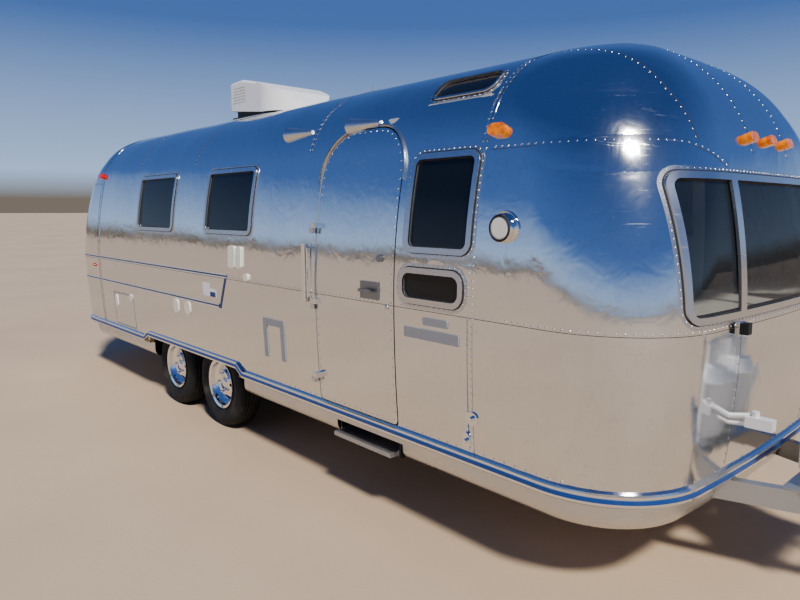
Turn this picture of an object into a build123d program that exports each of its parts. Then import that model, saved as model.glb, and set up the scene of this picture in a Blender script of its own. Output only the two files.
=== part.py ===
from build123d import *
from math import asin, atan2, cos, degrees, pi, radians, sin, sqrt
import os

# Driving dimensions in mm. X runs forward to the coupler, Y to the street side, Z up from the ground.
# A station is a distance from the front seam, where the straight barrel meets the front end cap.
BODY_WIDTH = 2438.0
FRONT_SEAM_X = 2190.0
BARREL_LENGTH = 5330.0
WALL_THICKNESS = 40.0
WALL_BASE_Z = 535.0
ROOF_SEAM_Z = 2262.0
SEAT_GAP = 0.3
FIT_GAP = 0.4

# Side section: the wall is widest at one height, with tangent arcs below and above it.
SIDE_WIDEST_Z = 1300.0
SIDE_LOWER_RADIUS = 8200.0
# (radius, normal angle in degrees where the arc ends)
SIDE_UPPER_ARCS = ((3170.0, 14.0), (600.0, 71.0))

# End profile along the centre line: deepest at one height, then leaning back into the dome.
END_DEPTH = 895.0
END_DEEPEST_Z = 1200.0
END_LOWER_RADIUS = 5400.0
END_UPPER_RADIUS = 2900.0
END_BULGE_RADIUS = 12000.0

# Plan corners of an end cap: one radius low down, growing above a height, and never more than a
# share of the depth left in the dome. The sections are evenly spaced along the side's arcs.
CORNER_RADIUS = 490.0
CORNER_GROWS_ABOVE_Z = 1200.0
CORNER_GROWTH = 0.13
CORNER_DEPTH_SHARE = 0.93
CAP_SECTIONS = 13
CAP_FLAT_DROP = 12.0

# Rub rail round the body, its blue insert, and the step up over the wheels.
RAIL_Z = 543.0
RAIL_HEIGHT = 46.0
RAIL_PROUD = 20.0
RAIL_CORNER_SLACK = 8.0
INSERT_HEIGHT = 18.0
INSERT_PROUD = 4.0
RAIL_STEP_UP = 52.0
RAIL_STEP_RUN = 90.0

# Floor, belly pan and chassis.
DECK_THICKNESS = 30.0
BELLY_BOTTOM_Z = 365.0
BELLY_INSET = 45.0
BELLY_RADIUS = 70.0
BELLY_SHEET = 5.0
CHASSIS_RAIL_Y = 560.0
CHANNEL_DEPTH = 100.0
CHANNEL_FLANGE = 50.0
CHANNEL_WALL = 5.0
TONGUE_TIP_STATION = 1800.0
TONGUE_BEND_STATION = 430.0
TONGUE_TIP_HALF_GAP = 32.0

# Wheels and axles.
WHEEL_RADIUS = 352.0
TYRE_WIDTH = 215.0
RIM_RADIUS = 190.5
RIM_LIP = 12.0
WHEEL_INSET = 199.0
FRONT_AXLE_STATION = -2834.0
AXLE_SPACING = 854.0
AXLE_TUBE = 76.0
AXLE_ARM_LENGTH = 150.0
AXLE_TUBE_Z = 345.0
SPINDLE_RADIUS = 20.0
WHEEL_OPENING_FRONT = -2385.0
WHEEL_OPENING_REAR = -4105.0
WHEEL_OPENING_TOP_Z = 572.0
WELL_DEPTH = 369.0
WELL_TOP_Z = 770.0
WELL_SHEET = 5.0

# Entry door on the curb side. It hangs on its rear edge.
DOOR_REAR = -1310.0
DOOR_FRONT = -580.0
DOOR_BOTTOM_Z = 572.0
DOOR_TOP_Z = 2205.0
DOOR_TOP_RADIUS = 270.0
DOOR_BOTTOM_RADIUS = 30.0
DOOR_GAP = 8.0
DOOR_REBATE = 12.0
DOOR_SKIN = 14.0
HINGE_OUT = 14.0
HINGE_RADIUS = 6.0
HINGE_LENGTH = 32.0
HINGE_LEAF = 26.0
HINGE_HEIGHTS = (720.0, 1180.0, 1640.0)

# Door latch plate, the deadbolt above it, and the grab handle on the wall beside the door.
LATCH_STATION = -783.0
LATCH_Z = 1310.0
LATCH_WIDTH = 150.0
LATCH_HEIGHT = 96.0
LATCH_PLATE = 10.0
PULL_OUT = 40.0
BOLT_STATION = -700.0
BOLT_Z = 1490.0
BOLT_RADIUS = 20.0
HANDLE_STATION = -1365.0
HANDLE_LOW_Z = 1190.0
HANDLE_HIGH_Z = 1545.0
HANDLE_OUT = 45.0
HANDLE_WIDTH = 30.0
HANDLE_DEPTH = 16.0
HANDLE_FOOT = 24.0

# Rain gutter over the door's arch.
GUTTER_OUT = 8.0
GUTTER_WIDTH = 7.0
GUTTER_PROUD = 15.0
GUTTER_LOW_Z = 1905.0

# Windows of the side walls. (name, rear station, front station, sill z, head z, corner radius, sides)
# Sides: -1 is the curb side, +1 the street side.
FRAME_BAND = 52.0
SASH_BAND = 30.0
FLANGE_PROUD = 3.5
SASH_PROUD = 13.0
GLASS_THICKNESS = 5.0
GLASS_SET_BACK = 4.0
WINDOWS = (
    ("rear", -4230.0, -3390.0, 1546.0, 2074.0, 75.0, (-1, 1)),
    ("middle", -2840.0, -2070.0, 1550.0, 2070.0, 75.0, (-1, 1)),
    ("galley", -1560.0, -900.0, 1550.0, 2070.0, 75.0, (1,)),
    ("front", -530.0, -33.0, 1510.0, 2050.0, 85.0, (-1, 1)),
    ("vent", -560.0, -68.0, 1250.0, 1480.0, 95.0, (-1, 1)),
)
VISTA_STATIONS = (-560.0, -95.0)
VISTA_HEIGHT = 210.0
VISTA_ANGLE = 48.0
VISTA_RADIUS = 80.0
VISTA_BAND = 30.0
VISTA_SASH = 14.0
FRAME_GAP = 2.0

# Front window band round the nose, and the rear window.
NOSE_SILL_Z = 1262.0
NOSE_HEAD_Z = 1925.0
NOSE_SIDE_MARGIN = 274.0
NOSE_CORNER = 90.0
NOSE_POST_Y = 500.0
NOSE_POST_WIDTH = 56.0
PANE_JOINT = 20.0
TAIL_SILL_Z = 1450.0
TAIL_HEAD_Z = 1925.0
TAIL_HALF_WIDTH = 470.0

# Roof equipment.
AIRCON_REAR = -3985.0
AIRCON_FRONT = -3075.0
AIRCON_WIDTH = 700.0
AIRCON_TOP_Z = 2960.0
AIRCON_NOSE_RADIUS = 320.0
AIRCON_TAIL_RADIUS = 70.0
# (station, height under the top) along the unit's back
AIRCON_BACK = ((-3985.0, 10.0), (-3720.0, 0.0), (-3450.0, 55.0), (-3200.0, 145.0), (-3075.0, 255.0))
AIRCON_LOUVRES = 6
LOUVRE_PITCH = 26.0
LOUVRE_HEIGHT = 12.0
LOUVRE_DEPTH = 12.0
ROOF_VENTS = (("front", -250.0, 0.0), ("rear", -4900.0, 0.0))
VENT_SIZE = 360.0
VENT_CURB_HEIGHT = 9.0
VENT_LID = 13.0
VENT_PIN_RADIUS = 4.0

# Entry step.
STEP_REAR = -1165.0
STEP_FRONT = -645.0
STEP_INSET = 24.0
STEP_LOW_Z = 378.0
STEP_TREAD = 26.0
STEP_DEPTH = 240.0
STEP_RUNNER = 8.0
STEP_SLIDE = 12.0
STEP_SLIDE_LOW_Z = 366.0
STEP_RECESS_DEPTH = 480.0
STEP_RECESS_TOP_Z = 455.0
STEP_RECESS_SIDE = 42.0

# Tongue fittings.
JACK_STATION = 1560.0
JACK_TUBE_RADIUS = 30.0
JACK_TUBE_WALL = 5.0
JACK_TUBE_BOTTOM_Z = 395.0
JACK_TUBE_TOP_Z = 1010.0
JACK_FOOT_RADIUS = 75.0
JACK_FOOT_THICKNESS = 10.0
JACK_TRAVEL = 340.0
JACK_PLATE_LENGTH = 180.0
JACK_PLATE_WIDTH = 300.0
JACK_PLATE_THICKNESS = 12.0
JACK_HEAD_RADIUS = 48.0
JACK_HEAD_HEIGHT = 60.0
JACK_FLANGE_RADIUS = 62.0
CRANK_RADIUS = 9.0
CRANK_REACH = 160.0
CRANK_RISE = 80.0
CRANK_GRIP_RADIUS = 11.0
CRANK_GRIP_TOP = 190.0
BALL_STATION = 1975.0
BALL_RADIUS = 29.4
BALL_CLEARANCE = 0.4
BALL_BORE_LENGTH = 30.0
BOTTLE_RADIUS = 152.0
BOTTLE_HEIGHT = 470.0
BOTTLE_STATION = 1215.0
BOTTLE_Y = 162.0
TRAY_LENGTH = 340.0
TRAY_WIDTH = 660.0
TRAY_THICKNESS = 8.0

# Rear bumper box behind the body.
BUMPER_GAP = 30.0
BUMPER_DEPTH = 200.0
BUMPER_SIDE_MARGIN = 319.0
BUMPER_HEIGHT = 110.0
BUMPER_SHEET = 5.0

# Lamps. Sizes are (length, height, proud); the rear end has the same row as the nose, in red.
SIDE_LAMP_STATION = 25.0
SIDE_LAMP_Z = 2100.0
SIDE_LAMP_SIZE = (100.0, 55.0, 32.0)
NOSE_LAMP_Z = 2070.0
NOSE_LAMP_PITCH = 230.0
NOSE_LAMP_SIZE = (90.0, 45.0, 32.0)
MARKER_STATION = -5468.0
MARKER_Z = 1168.0
MARKER_SIZE = (60.0, 34.0, 16.0)
TAIL_LAMP_Y = 640.0
TAIL_LAMP_Z = 940.0
TAIL_LAMP_SIZE = (210.0, 110.0, 34.0)
PORCH_STATION = 132.0
PORCH_Z = 1666.0
PORCH_RADIUS = 62.0
PORCH_PROUD = 42.0
PORCH_ROUNDING = 24.0

# Vents, hatches and plates on the side walls. The fourth is the rear hatch, the first the fridge vent.
# (rear station, front station, low z, high z, corner radius, proud, rim width, side)
PLATES = (
    (-1945.0, -1680.0, 745.0, 1020.0, 6.0, 7.0, 48.0, -1),
    (-360.0, -190.0, 1172.0, 1212.0, 10.0, 8.0, 0.0, -1),
    (-500.0, -115.0, 1095.0, 1150.0, 6.0, 8.0, 0.0, -1),
    (-4950.0, -4400.0, 592.0, 930.0, 40.0, 3.0, 14.0, -1),
    (-2300.0, -1960.0, 640.0, 1060.0, 20.0, 7.0, 0.0, 1),
    (-4700.0, -4300.0, 660.0, 1010.0, 20.0, 7.0, 0.0, 1),
)
FRIDGE_VENT_OPEN = (-1897.0, -1728.0, 740.0, 800.0)

# White covers: two upright vents, a latch, two oval caps and two drain covers by the rear hatch.
# (rear station, front station, low z, high z, corner radius, proud)
COVERS = (
    (-2398.0, -2306.0, 1330.0, 1492.0, 20.0, 16.0),
    (-2280.0, -2212.0, 1334.0, 1490.0, 20.0, 16.0),
    (-2180.0, -2120.0, 1252.0, 1302.0, 18.0, 14.0),
    (-3440.0, -3345.0, 878.0, 1006.0, 44.0, 9.0),
    (-3215.0, -3115.0, 890.0, 1004.0, 44.0, 9.0),
    (-4905.0, -4845.0, 775.0, 895.0, 28.0, 9.0),
    (-4500.0, -4420.0, 872.0, 935.0, 28.0, 9.0),
)

# Chrome inlets by the front seam, a round lock cover over an oval one.
# (station, height, half width, half height)
INLETS = ((-36.0, 755.0, 38.0, 34.0), (-78.0, 633.0, 27.0, 45.0))
INLET_PROUD = 9.0
INLET_KNOB_RADIUS = 13.0
INLET_KNOB_PROUD = 24.0

# Trim stripes round the rear.
STRIPE_FRONT = -2440.0
STRIPE_PROUD = 2.5
STRIPE_HEIGHT = 30.0
STRIPE_LOW_Z = 1010.0
STRIPE_HIGH_Z = 1246.0
STRIPE_SLANT = 150.0

# Cowls on the roof shoulder. (rear station, height of the axis)
COWLS = ((-1815.0, 2236.0), (-1140.0, 2228.0))
COWL_LENGTH = 270.0
COWL_REAR_RADIUS = 50.0
COWL_FRONT_RADIUS = 14.0
COWL_SHEET = 3.0

# Shelf inside the nose, bracket outside it, and the aerial bracket on the roof.
SHELF_TOP_Z = 1190.0
SHELF_THICKNESS = 25.0
SHELF_BACK = 20.0
BRACKET_Y = -530.0
BRACKET_Z = 838.0
AERIAL_STATION = -2130.0
AERIAL_HALF_WIDTH = 70.0
AERIAL_HEIGHT = 105.0
AERIAL_BAR = 60.0
AERIAL_POST_RADIUS = 7.0

# Places that follow from the sizes above. OUTSIDE is well past either side of the body.
WHEEL_CENTRE_Y = BODY_WIDTH / 2 - WHEEL_INSET
WELL_INNER_Y = BODY_WIDTH / 2 - WELL_DEPTH
NOSE_HALF_WIDTH = BODY_WIDTH / 2 - NOSE_SIDE_MARGIN
BUMPER_HALF_WIDTH = BODY_WIDTH / 2 - BUMPER_SIDE_MARGIN
OUTSIDE = 0.6 * BODY_WIDTH


def at(station):
    """X of a station."""
    return FRONT_SEAM_X + station


def box(x0, x1, y0, y1, z0, z1):
    """Axis-aligned block between three pairs of limits."""
    block = Box(abs(x1 - x0), abs(y1 - y0), abs(z1 - z0))
    return Pos((x0 + x1) / 2, (y0 + y1) / 2, (z0 + z1) / 2) * block


def rod(start, end, radius):
    """Round bar between two points."""
    line = Vector(*end) - Vector(*start)
    plane = Plane(origin=start, z_dir=line.normalized())
    return extrude(plane * Circle(radius), line.length)


def arc_chain(reach, level, base, lower_radius, upper_arcs):
    """Tangent arcs up a wall, each (radius, start angle, end angle, centre reach, centre height)."""
    start = asin((base - level) / lower_radius)
    arcs = [(lower_radius, start, 0.0, reach - lower_radius, level)]
    height, angle = level, 0.0
    for radius, end_degrees in upper_arcs:
        end = radians(end_degrees)
        centre = (reach - radius * cos(angle), height - radius * sin(angle))
        arcs.append((radius, angle, end, *centre))
        reach = centre[0] + radius * cos(end)
        height = centre[1] + radius * sin(end)
        angle = end
    return arcs


def close_crown(arcs):
    """Adds the last arc, which ends level over the centre line."""
    radius, _, end, centre_reach, centre_height = arcs[-1]
    reach = centre_reach + radius * cos(end)
    height = centre_height + radius * sin(end)
    crown = reach / cos(end)
    return arcs + [(crown, end, pi / 2, 0.0, height - crown * sin(end))]


def end_chain(roof_z):
    """Profile of an end: its dome arc is tangent to the upper arc and ends level at the seam."""
    rise = roof_z - END_DEEPEST_Z
    offset = END_DEPTH - END_UPPER_RADIUS
    dome = (END_UPPER_RADIUS**2 - offset**2 - rise**2) / (2 * (END_UPPER_RADIUS - rise))
    turn = atan2(rise - dome, -offset)
    upper = ((END_UPPER_RADIUS, degrees(turn)), (dome, 90.0))
    return arc_chain(END_DEPTH, END_DEEPEST_Z, WALL_BASE_Z, END_LOWER_RADIUS, upper)


SIDE = close_crown(
    arc_chain(BODY_WIDTH / 2, SIDE_WIDEST_Z, WALL_BASE_Z, SIDE_LOWER_RADIUS, SIDE_UPPER_ARCS)
)
ROOF_Z = SIDE[-1][4] + SIDE[-1][0]
END = end_chain(ROOF_Z)


def reach_at(arcs, height, inset=0.0):
    """Reach of a profile at a height, with the wall face moved inward by inset."""
    for radius, _, end, centre_reach, centre_height in arcs:
        rise = (height - centre_height) / (radius - inset)
        if rise <= sin(end) + 1e-9:
            break
    return centre_reach + (radius - inset) * sqrt(max(0.0, 1 - min(rise, 1.0) ** 2))


def slope_at(arcs, height):
    """Sine of the face's normal angle at a height."""
    for radius, _, end, _, centre_height in arcs:
        rise = (height - centre_height) / radius
        if rise <= sin(end) + 1e-9:
            break
    return min(rise, 1.0)


BASE_HALF = reach_at(SIDE, WALL_BASE_Z)
BASE_DEPTH = reach_at(END, WALL_BASE_Z)


def corner_points(half, depth, corner, bulge):
    """Corner centre and the point where the corner meets the bulged end, for the +Y corner."""
    centre_x = depth - bulge + sqrt((bulge - corner) ** 2 - (half - corner) ** 2)
    centre = Vector(centre_x, half - corner)
    aim = (centre - Vector(depth - bulge, 0)).normalized()
    return centre, Vector(depth - bulge, 0) + aim * bulge, aim


def corner_middle(centre, corner, aim):
    """Point half-way round the plan corner."""
    middle = (aim + Vector(0, 1)).normalized()
    return centre + middle * corner


def cap_heights():
    """Heights evenly spaced along the side's arcs, from the base to the small flat at the top."""
    crown, start, _, _, centre_height = SIDE[-1]
    flat = asin((ROOF_Z - CAP_FLAT_DROP - centre_height) / crown)
    arcs = SIDE[:-1] + [(crown, start, flat, 0.0, centre_height)]
    total = sum(radius * (end - start) for radius, start, end, _, _ in arcs)
    heights = []
    for k in range(CAP_SECTIONS):
        left = total * k / (CAP_SECTIONS - 1)
        for radius, start, end, _, centre in arcs:
            length = radius * (end - start)
            if left <= length + 1e-6:
                break
            left -= length
        heights.append(centre + radius * sin(start + left / radius))
    return heights


def cap_corner(height):
    """Plan corner radius of the outer face at a height."""
    grown = CORNER_RADIUS + CORNER_GROWTH * max(0.0, height - CORNER_GROWS_ABOVE_Z)
    return min(grown, CORNER_DEPTH_SHARE * reach_at(END, height))


def cap_section(height, inset):
    """Level section of the front end cap, closed by a line at the seam plane."""
    level = height - inset * max(0.0, slope_at(SIDE, height))
    half = reach_at(SIDE, level, inset)
    depth = reach_at(END, level, inset)
    radius = min(cap_corner(height) - inset, CORNER_DEPTH_SHARE * min(half, depth))
    centre, meet, aim = corner_points(half, depth, radius, END_BULGE_RADIUS)
    middle = corner_middle(centre, radius, aim)
    points = ((0, half), (centre.X, half), (middle.X, middle.Y), (meet.X, meet.Y))
    upper = [Vector(x, y, level) for x, y in points]
    lower = [Vector(x, -y, level) for x, y in points]
    edges = (
        Line(upper[0], upper[1]),
        ThreePointArc(upper[1], upper[2], upper[3]),
        ThreePointArc(upper[3], Vector(depth, 0, level), lower[3]),
        ThreePointArc(lower[3], lower[2], lower[1]),
        Line(lower[1], lower[0]),
        Line(lower[0], upper[0]),
    )
    return make_face(Wire([e.edge() for e in edges]).edges())


def cap_solid(inset):
    """Whole front end cap as a solid, with its faces moved inward by inset."""
    sections = [cap_section(height, inset) for height in cap_heights()]
    return Pos(FRONT_SEAM_X, 0, 0) * loft(sections)


def full_plan(inset, height, shift=0.0, tighter=0.0):
    """Plan of the whole body, its sides and ends moved out by a shift and its corners made tighter."""
    half, depth = BASE_HALF + shift - inset, BASE_DEPTH + shift - inset
    corner = CORNER_RADIUS - tighter - inset
    centre, meet, aim = corner_points(half, depth, corner, END_BULGE_RADIUS)
    middle = corner_middle(centre, corner, aim)
    front = [(centre.X, half), (middle.X, middle.Y), (meet.X, meet.Y), (depth, 0)]
    front += [(x, -y) for x, y in reversed(front[:3])]
    rear = [(-BARREL_LENGTH - x, y) for x, y in reversed(front)]
    ring = [Vector(at(x), y, height) for x, y in front + rear]
    edges = [Line(ring[6], ring[7]), Line(ring[13], ring[0])]
    for arcs in (ring[:7], ring[7:]):
        edges += [ThreePointArc(*arcs[k : k + 3]) for k in (0, 2, 4)]
    return make_face(Wire([e.edge() for e in edges]).edges())


def plan_ring(outer, inner, low, high, shift):
    """Upright band that follows the body plan between two insets."""
    ring = full_plan(outer, low, shift, RAIL_CORNER_SLACK) - full_plan(inner, low, shift, RAIL_CORNER_SLACK)
    return extrude(ring, high - low, dir=(0, 0, 1))


def side_edges(inset, base):
    """Section edges of the +Y side from the base to the crown, as arcs."""
    edges = []
    for radius, start, end, centre_reach, centre_height in SIDE:
        r = radius - inset
        low = asin((base - centre_height) / r) if not edges else start
        points = [
            Vector(0, centre_reach + r * cos(a), centre_height + r * sin(a))
            for a in (low, (low + end) / 2, end)
        ]
        edges.append(ThreePointArc(*points).edge())
    return edges


def barrel_face(inset):
    """Closed section of the barrel."""
    half = side_edges(inset, WALL_BASE_Z)
    other = [e.mirror(Plane.XZ) for e in half]
    foot = reach_at(SIDE, WALL_BASE_Z, inset)
    sill = Line((0, -foot, WALL_BASE_Z), (0, foot, WALL_BASE_Z)).edge()
    return make_face(Wire(half + other + [sill]).edges())


def barrel_slab(outer, inner, rear, front):
    """Part of the barrel between two insets and two stations."""
    section = Pos(at(rear), 0, 0) * (barrel_face(outer) - barrel_face(inner))
    return extrude(section, front - rear, dir=(1, 0, 0))


def side_outline(rear, front, low, high, radius, grow=0.0):
    """Rounded rectangle in the side elevation."""
    width, height = front - rear + 2 * grow, high - low + 2 * grow
    place = Plane(
        origin=(at((rear + front) / 2), 0, (low + high) / 2), x_dir=(1, 0, 0), z_dir=(0, -1, 0)
    )
    return place * RectangleRounded(width, height, max(3.0, radius + grow))


def side_prism(outline, side):
    """Outline pushed out through one side wall."""
    return extrude(outline, OUTSIDE, dir=(0, side, 0))


def door_outline(shrink):
    """Door in the side elevation, with its arched top."""
    rear, front = at(DOOR_REAR) + shrink, at(DOOR_FRONT) - shrink
    low, high = DOOR_BOTTOM_Z + shrink, DOOR_TOP_Z - shrink
    top, bottom = DOOR_TOP_RADIUS - shrink, DOOR_BOTTOM_RADIUS
    face = Plane(origin=(0, 0, 0), x_dir=(1, 0, 0), z_dir=(0, -1, 0)) * make_face(
        Polyline((rear, low), (front, low), (front, high), (rear, high), close=True)
    )
    corners = face.vertices()
    upper = corners.filter_by(lambda v: v.Z > (low + high) / 2)
    face = fillet(upper, top)
    lower = face.vertices().group_by(Axis.Z)[0]
    return fillet(lower, bottom)


def window_list(side):
    return [row[:6] for row in WINDOWS if side in row[6]]


def vista_plane(side):
    """Plane on the roof shoulder that faces out along the normal at the vista window."""
    arc = SIDE[2]
    angle = radians(VISTA_ANGLE)
    y = side * (arc[3] + arc[0] * cos(angle))
    z = arc[4] + arc[0] * sin(angle)
    return Plane(
        origin=(at(sum(VISTA_STATIONS) / 2), y, z),
        x_dir=(1, 0, 0),
        z_dir=(0, side * cos(angle), sin(angle)),
    )


def vista_prism(side, grow):
    width = VISTA_STATIONS[1] - VISTA_STATIONS[0] + 2 * grow
    height = VISTA_HEIGHT + 2 * grow
    outline = vista_plane(side) * RectangleRounded(width, height, VISTA_RADIUS + grow)
    return extrude(outline, 120, both=True)


def cap_slab(outer, inner):
    """Skin of the front end cap between two insets."""
    return cap_solid(outer) - cap_solid(inner)


def nose_outline(grow, sill, head, half, corner):
    """Rounded band across an end, seen along X."""
    place = Plane(origin=(0, 0, (sill + head) / 2), x_dir=(0, 1, 0), z_dir=(1, 0, 0))
    return place * RectangleRounded(2 * half + 2 * grow, head - sill + 2 * grow, corner + grow)


def nose_prism(grow, rear_end=False):
    """Prism through the glazed band of the nose, or through the rear window."""
    if rear_end:
        outline = nose_outline(grow, TAIL_SILL_Z, TAIL_HEAD_Z, TAIL_HALF_WIDTH, NOSE_CORNER)
        return extrude(Pos(at(-BARREL_LENGTH - 500), 0, 0) * outline, 600, dir=(-1, 0, 0))
    outline = nose_outline(grow, NOSE_SILL_Z, NOSE_HEAD_Z, NOSE_HALF_WIDTH, NOSE_CORNER)
    return extrude(Pos(at(350), 0, 0) * outline, 750, dir=(1, 0, 0))


def wheel_gap():
    """Space cut out of the walls round the wheels of both sides."""
    rear, front = at(WHEEL_OPENING_REAR), at(WHEEL_OPENING_FRONT)
    return both_sides(box(rear, front, WELL_INNER_Y, OUTSIDE, 0, WHEEL_OPENING_TOP_Z))


def to_rear(shape):
    """The front end's twin at the rear."""
    middle = at(-BARREL_LENGTH / 2)
    return mirror(shape, about=Plane(origin=(middle, 0, 0), z_dir=(1, 0, 0)))


def mirror_y(shape):
    return mirror(shape, about=Plane.XZ)


def both_sides(shape):
    return shape + mirror_y(shape)


parts = {}

# What lies on the skin is cut back by these, which stand a seat gap outside it.
barrel_cutter = extrude(Pos(at(-BARREL_LENGTH), 0, 0) * barrel_face(-SEAT_GAP), BARREL_LENGTH, dir=(1, 0, 0))
cap_cutter = cap_solid(-SEAT_GAP)

# Shell: two side walls and a roof between the seams, and an end cap at each end.
barrel = barrel_slab(0, WALL_THICKNESS, -BARREL_LENGTH, 0)
below_seam = box(at(-BARREL_LENGTH) - 10, at(0) + 10, -OUTSIDE, OUTSIDE, 0, ROOF_SEAM_Z)
lower_barrel = barrel & below_seam
wheels_cut = wheel_gap()
vista_cuts = {side: vista_prism(side, -VISTA_BAND) for side in (-1, 1)}


def side_wall(side):
    half = box(at(-BARREL_LENGTH) - 10, at(0) + 10, 0, side * OUTSIDE, 0, ROOF_SEAM_Z + 1)
    wall = (lower_barrel & half) - wheels_cut
    for _, rear, front, low, high, radius in window_list(side):
        hole = side_outline(rear, front, low, high, radius, -FRAME_BAND)
        wall = wall - side_prism(hole, side)
    if side < 0:
        wall = wall - side_prism(door_outline(0), side)
    return wall - vista_cuts[side]


parts["wall_curb"] = side_wall(-1)
parts["wall_street"] = side_wall(1)
parts["roof"] = barrel - below_seam - vista_cuts[-1] - vista_cuts[1]
cap = cap_slab(0, WALL_THICKNESS)
parts["cap_front"] = cap - nose_prism(-FRAME_BAND)
parts["cap_rear"] = to_rear(cap) - nose_prism(-FRAME_BAND, True)

# Window frames: a flat flange on the skin round a raised sash. The panes sit in the wall openings.
frame_slab = barrel_slab(-FLANGE_PROUD, -SEAT_GAP, -BARREL_LENGTH, 0)
sash_slab = barrel_slab(-SASH_PROUD, -SEAT_GAP, -BARREL_LENGTH, 0)
pane_slab = barrel_slab(GLASS_SET_BACK, GLASS_SET_BACK + GLASS_THICKNESS, -BARREL_LENGTH, 0)


def side_windows(side):
    """Frames and panes of one side."""
    frames, panes = [], []
    for name, rear, front, low, high, radius in window_list(side):
        outer = side_prism(side_outline(rear, front, low, high, radius), side)
        sash = side_prism(side_outline(rear, front, low, high, radius, SASH_BAND - FRAME_BAND), side)
        inner = side_prism(side_outline(rear, front, low, high, radius, -FRAME_BAND), side)
        pane = side_outline(rear, front, low, high, radius, -FRAME_BAND - SEAT_GAP)
        if name == "vent":
            outer = outer - side_prism(
                side_outline(*neighbour_window(), FRAME_GAP), side
            )
        frames.append((frame_slab & outer) + (sash_slab & sash) - inner)
        panes.append(pane_slab & side_prism(pane, side))
    return frames, panes


def neighbour_window():
    """Outline of the window above the vent."""
    return next(row[1:6] for row in WINDOWS if row[0] == "front")


frames, panes = [], []
for side in (-1, 1):
    got_frames, got_panes = side_windows(side)
    frames += got_frames
    panes += got_panes
    vista_outer = vista_prism(side, 0)
    vista_sash = sash_slab & vista_prism(side, VISTA_SASH - VISTA_BAND)
    frames.append((frame_slab & vista_outer) + vista_sash - vista_cuts[side])
    panes.append(pane_slab & vista_prism(side, -VISTA_BAND - SEAT_GAP))
parts["window_frames"] = frames
parts["window_panes"] = panes

# Nose and tail windows: a frame with two posts, and panes between them.
cap_frame = cap_slab(-FLANGE_PROUD, -SEAT_GAP)
cap_sash = cap_slab(-SASH_PROUD, -SEAT_GAP)
cap_pane = cap_slab(GLASS_SET_BACK, GLASS_SET_BACK + GLASS_THICKNESS)
nose_posts = [
    box(at(300), at(1200), y - NOSE_POST_WIDTH / 2, y + NOSE_POST_WIDTH / 2, NOSE_SILL_Z, NOSE_HEAD_Z)
    for y in (-NOSE_POST_Y, NOSE_POST_Y)
]
nose_opening = nose_prism(-FRAME_BAND)
post_cut = nose_opening - nose_posts[0] - nose_posts[1]
nose_sash = cap_sash & nose_prism(SASH_BAND - FRAME_BAND)
parts["nose_frame"] = (cap_frame & nose_prism(0)) + nose_sash - post_cut
tail_sash = to_rear(cap_sash) & nose_prism(SASH_BAND - FRAME_BAND, True)
tail_frame = (to_rear(cap_frame) & nose_prism(0, True)) + tail_sash
parts["tail_frame"] = tail_frame - nose_prism(-FRAME_BAND, True)
post_gaps = [
    box(at(300), at(1200), y - PANE_JOINT / 2, y + PANE_JOINT / 2, NOSE_SILL_Z, NOSE_HEAD_Z)
    for y in (-NOSE_POST_Y, NOSE_POST_Y)
]
parts["nose_panes"] = (cap_pane & nose_prism(-FRAME_BAND - SEAT_GAP)) - post_gaps[0] - post_gaps[1]
parts["tail_pane"] = to_rear(cap_pane) & nose_prism(-FRAME_BAND - SEAT_GAP, True)


# Rub rail: a band round the whole body that steps up over the wheels, with a blue insert.
def rail_path(height):
    """Side elevation of the rail, as a band of the given height centred on its line."""
    step = RAIL_STEP_UP
    run = RAIL_STEP_RUN
    rear_end, front_end = at(-BARREL_LENGTH - 1000), at(1000)
    back, ahead = at(WHEEL_OPENING_REAR), at(WHEEL_OPENING_FRONT)
    line = (
        (rear_end, 0),
        (back - run, 0),
        (back, step),
        (ahead, step),
        (ahead + run, 0),
        (front_end, 0),
    )
    top = [(x, 0, RAIL_Z + z + height / 2) for x, z in line]
    bottom = [(x, 0, RAIL_Z + z - height / 2) for x, z in reversed(line)]
    face = make_face(Polyline(*top, *bottom, close=True))
    return extrude(face, OUTSIDE, both=True)


rail_top = RAIL_Z + RAIL_STEP_UP + RAIL_HEIGHT / 2
rail_bottom = RAIL_Z - RAIL_HEIGHT / 2
level_top = RAIL_Z + RAIL_HEIGHT / 2
lean = max(reach_at(SIDE, level_top) - BASE_HALF, reach_at(END, level_top) - BASE_DEPTH)
rail_shift = lean + SEAT_GAP
rail_front = -RAIL_PROUD
insert_back = rail_front - SEAT_GAP
insert_front = insert_back - INSERT_PROUD
rail = plan_ring(rail_front, 0, rail_bottom - 1, rail_top + 1, rail_shift) & rail_path(RAIL_HEIGHT)
step_half = reach_at(SIDE, rail_top) + SEAT_GAP
rail_step_cut = box(
    at(WHEEL_OPENING_REAR) - RAIL_STEP_RUN, at(WHEEL_OPENING_FRONT) + RAIL_STEP_RUN,
    -step_half, step_half, 0, rail_top + 10,
)
parts["rub_rail"] = rail - rail_step_cut
insert = plan_ring(insert_front, insert_back, rail_bottom, rail_top, rail_shift)
parts["rub_insert"] = insert & rail_path(INSERT_HEIGHT)

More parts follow.
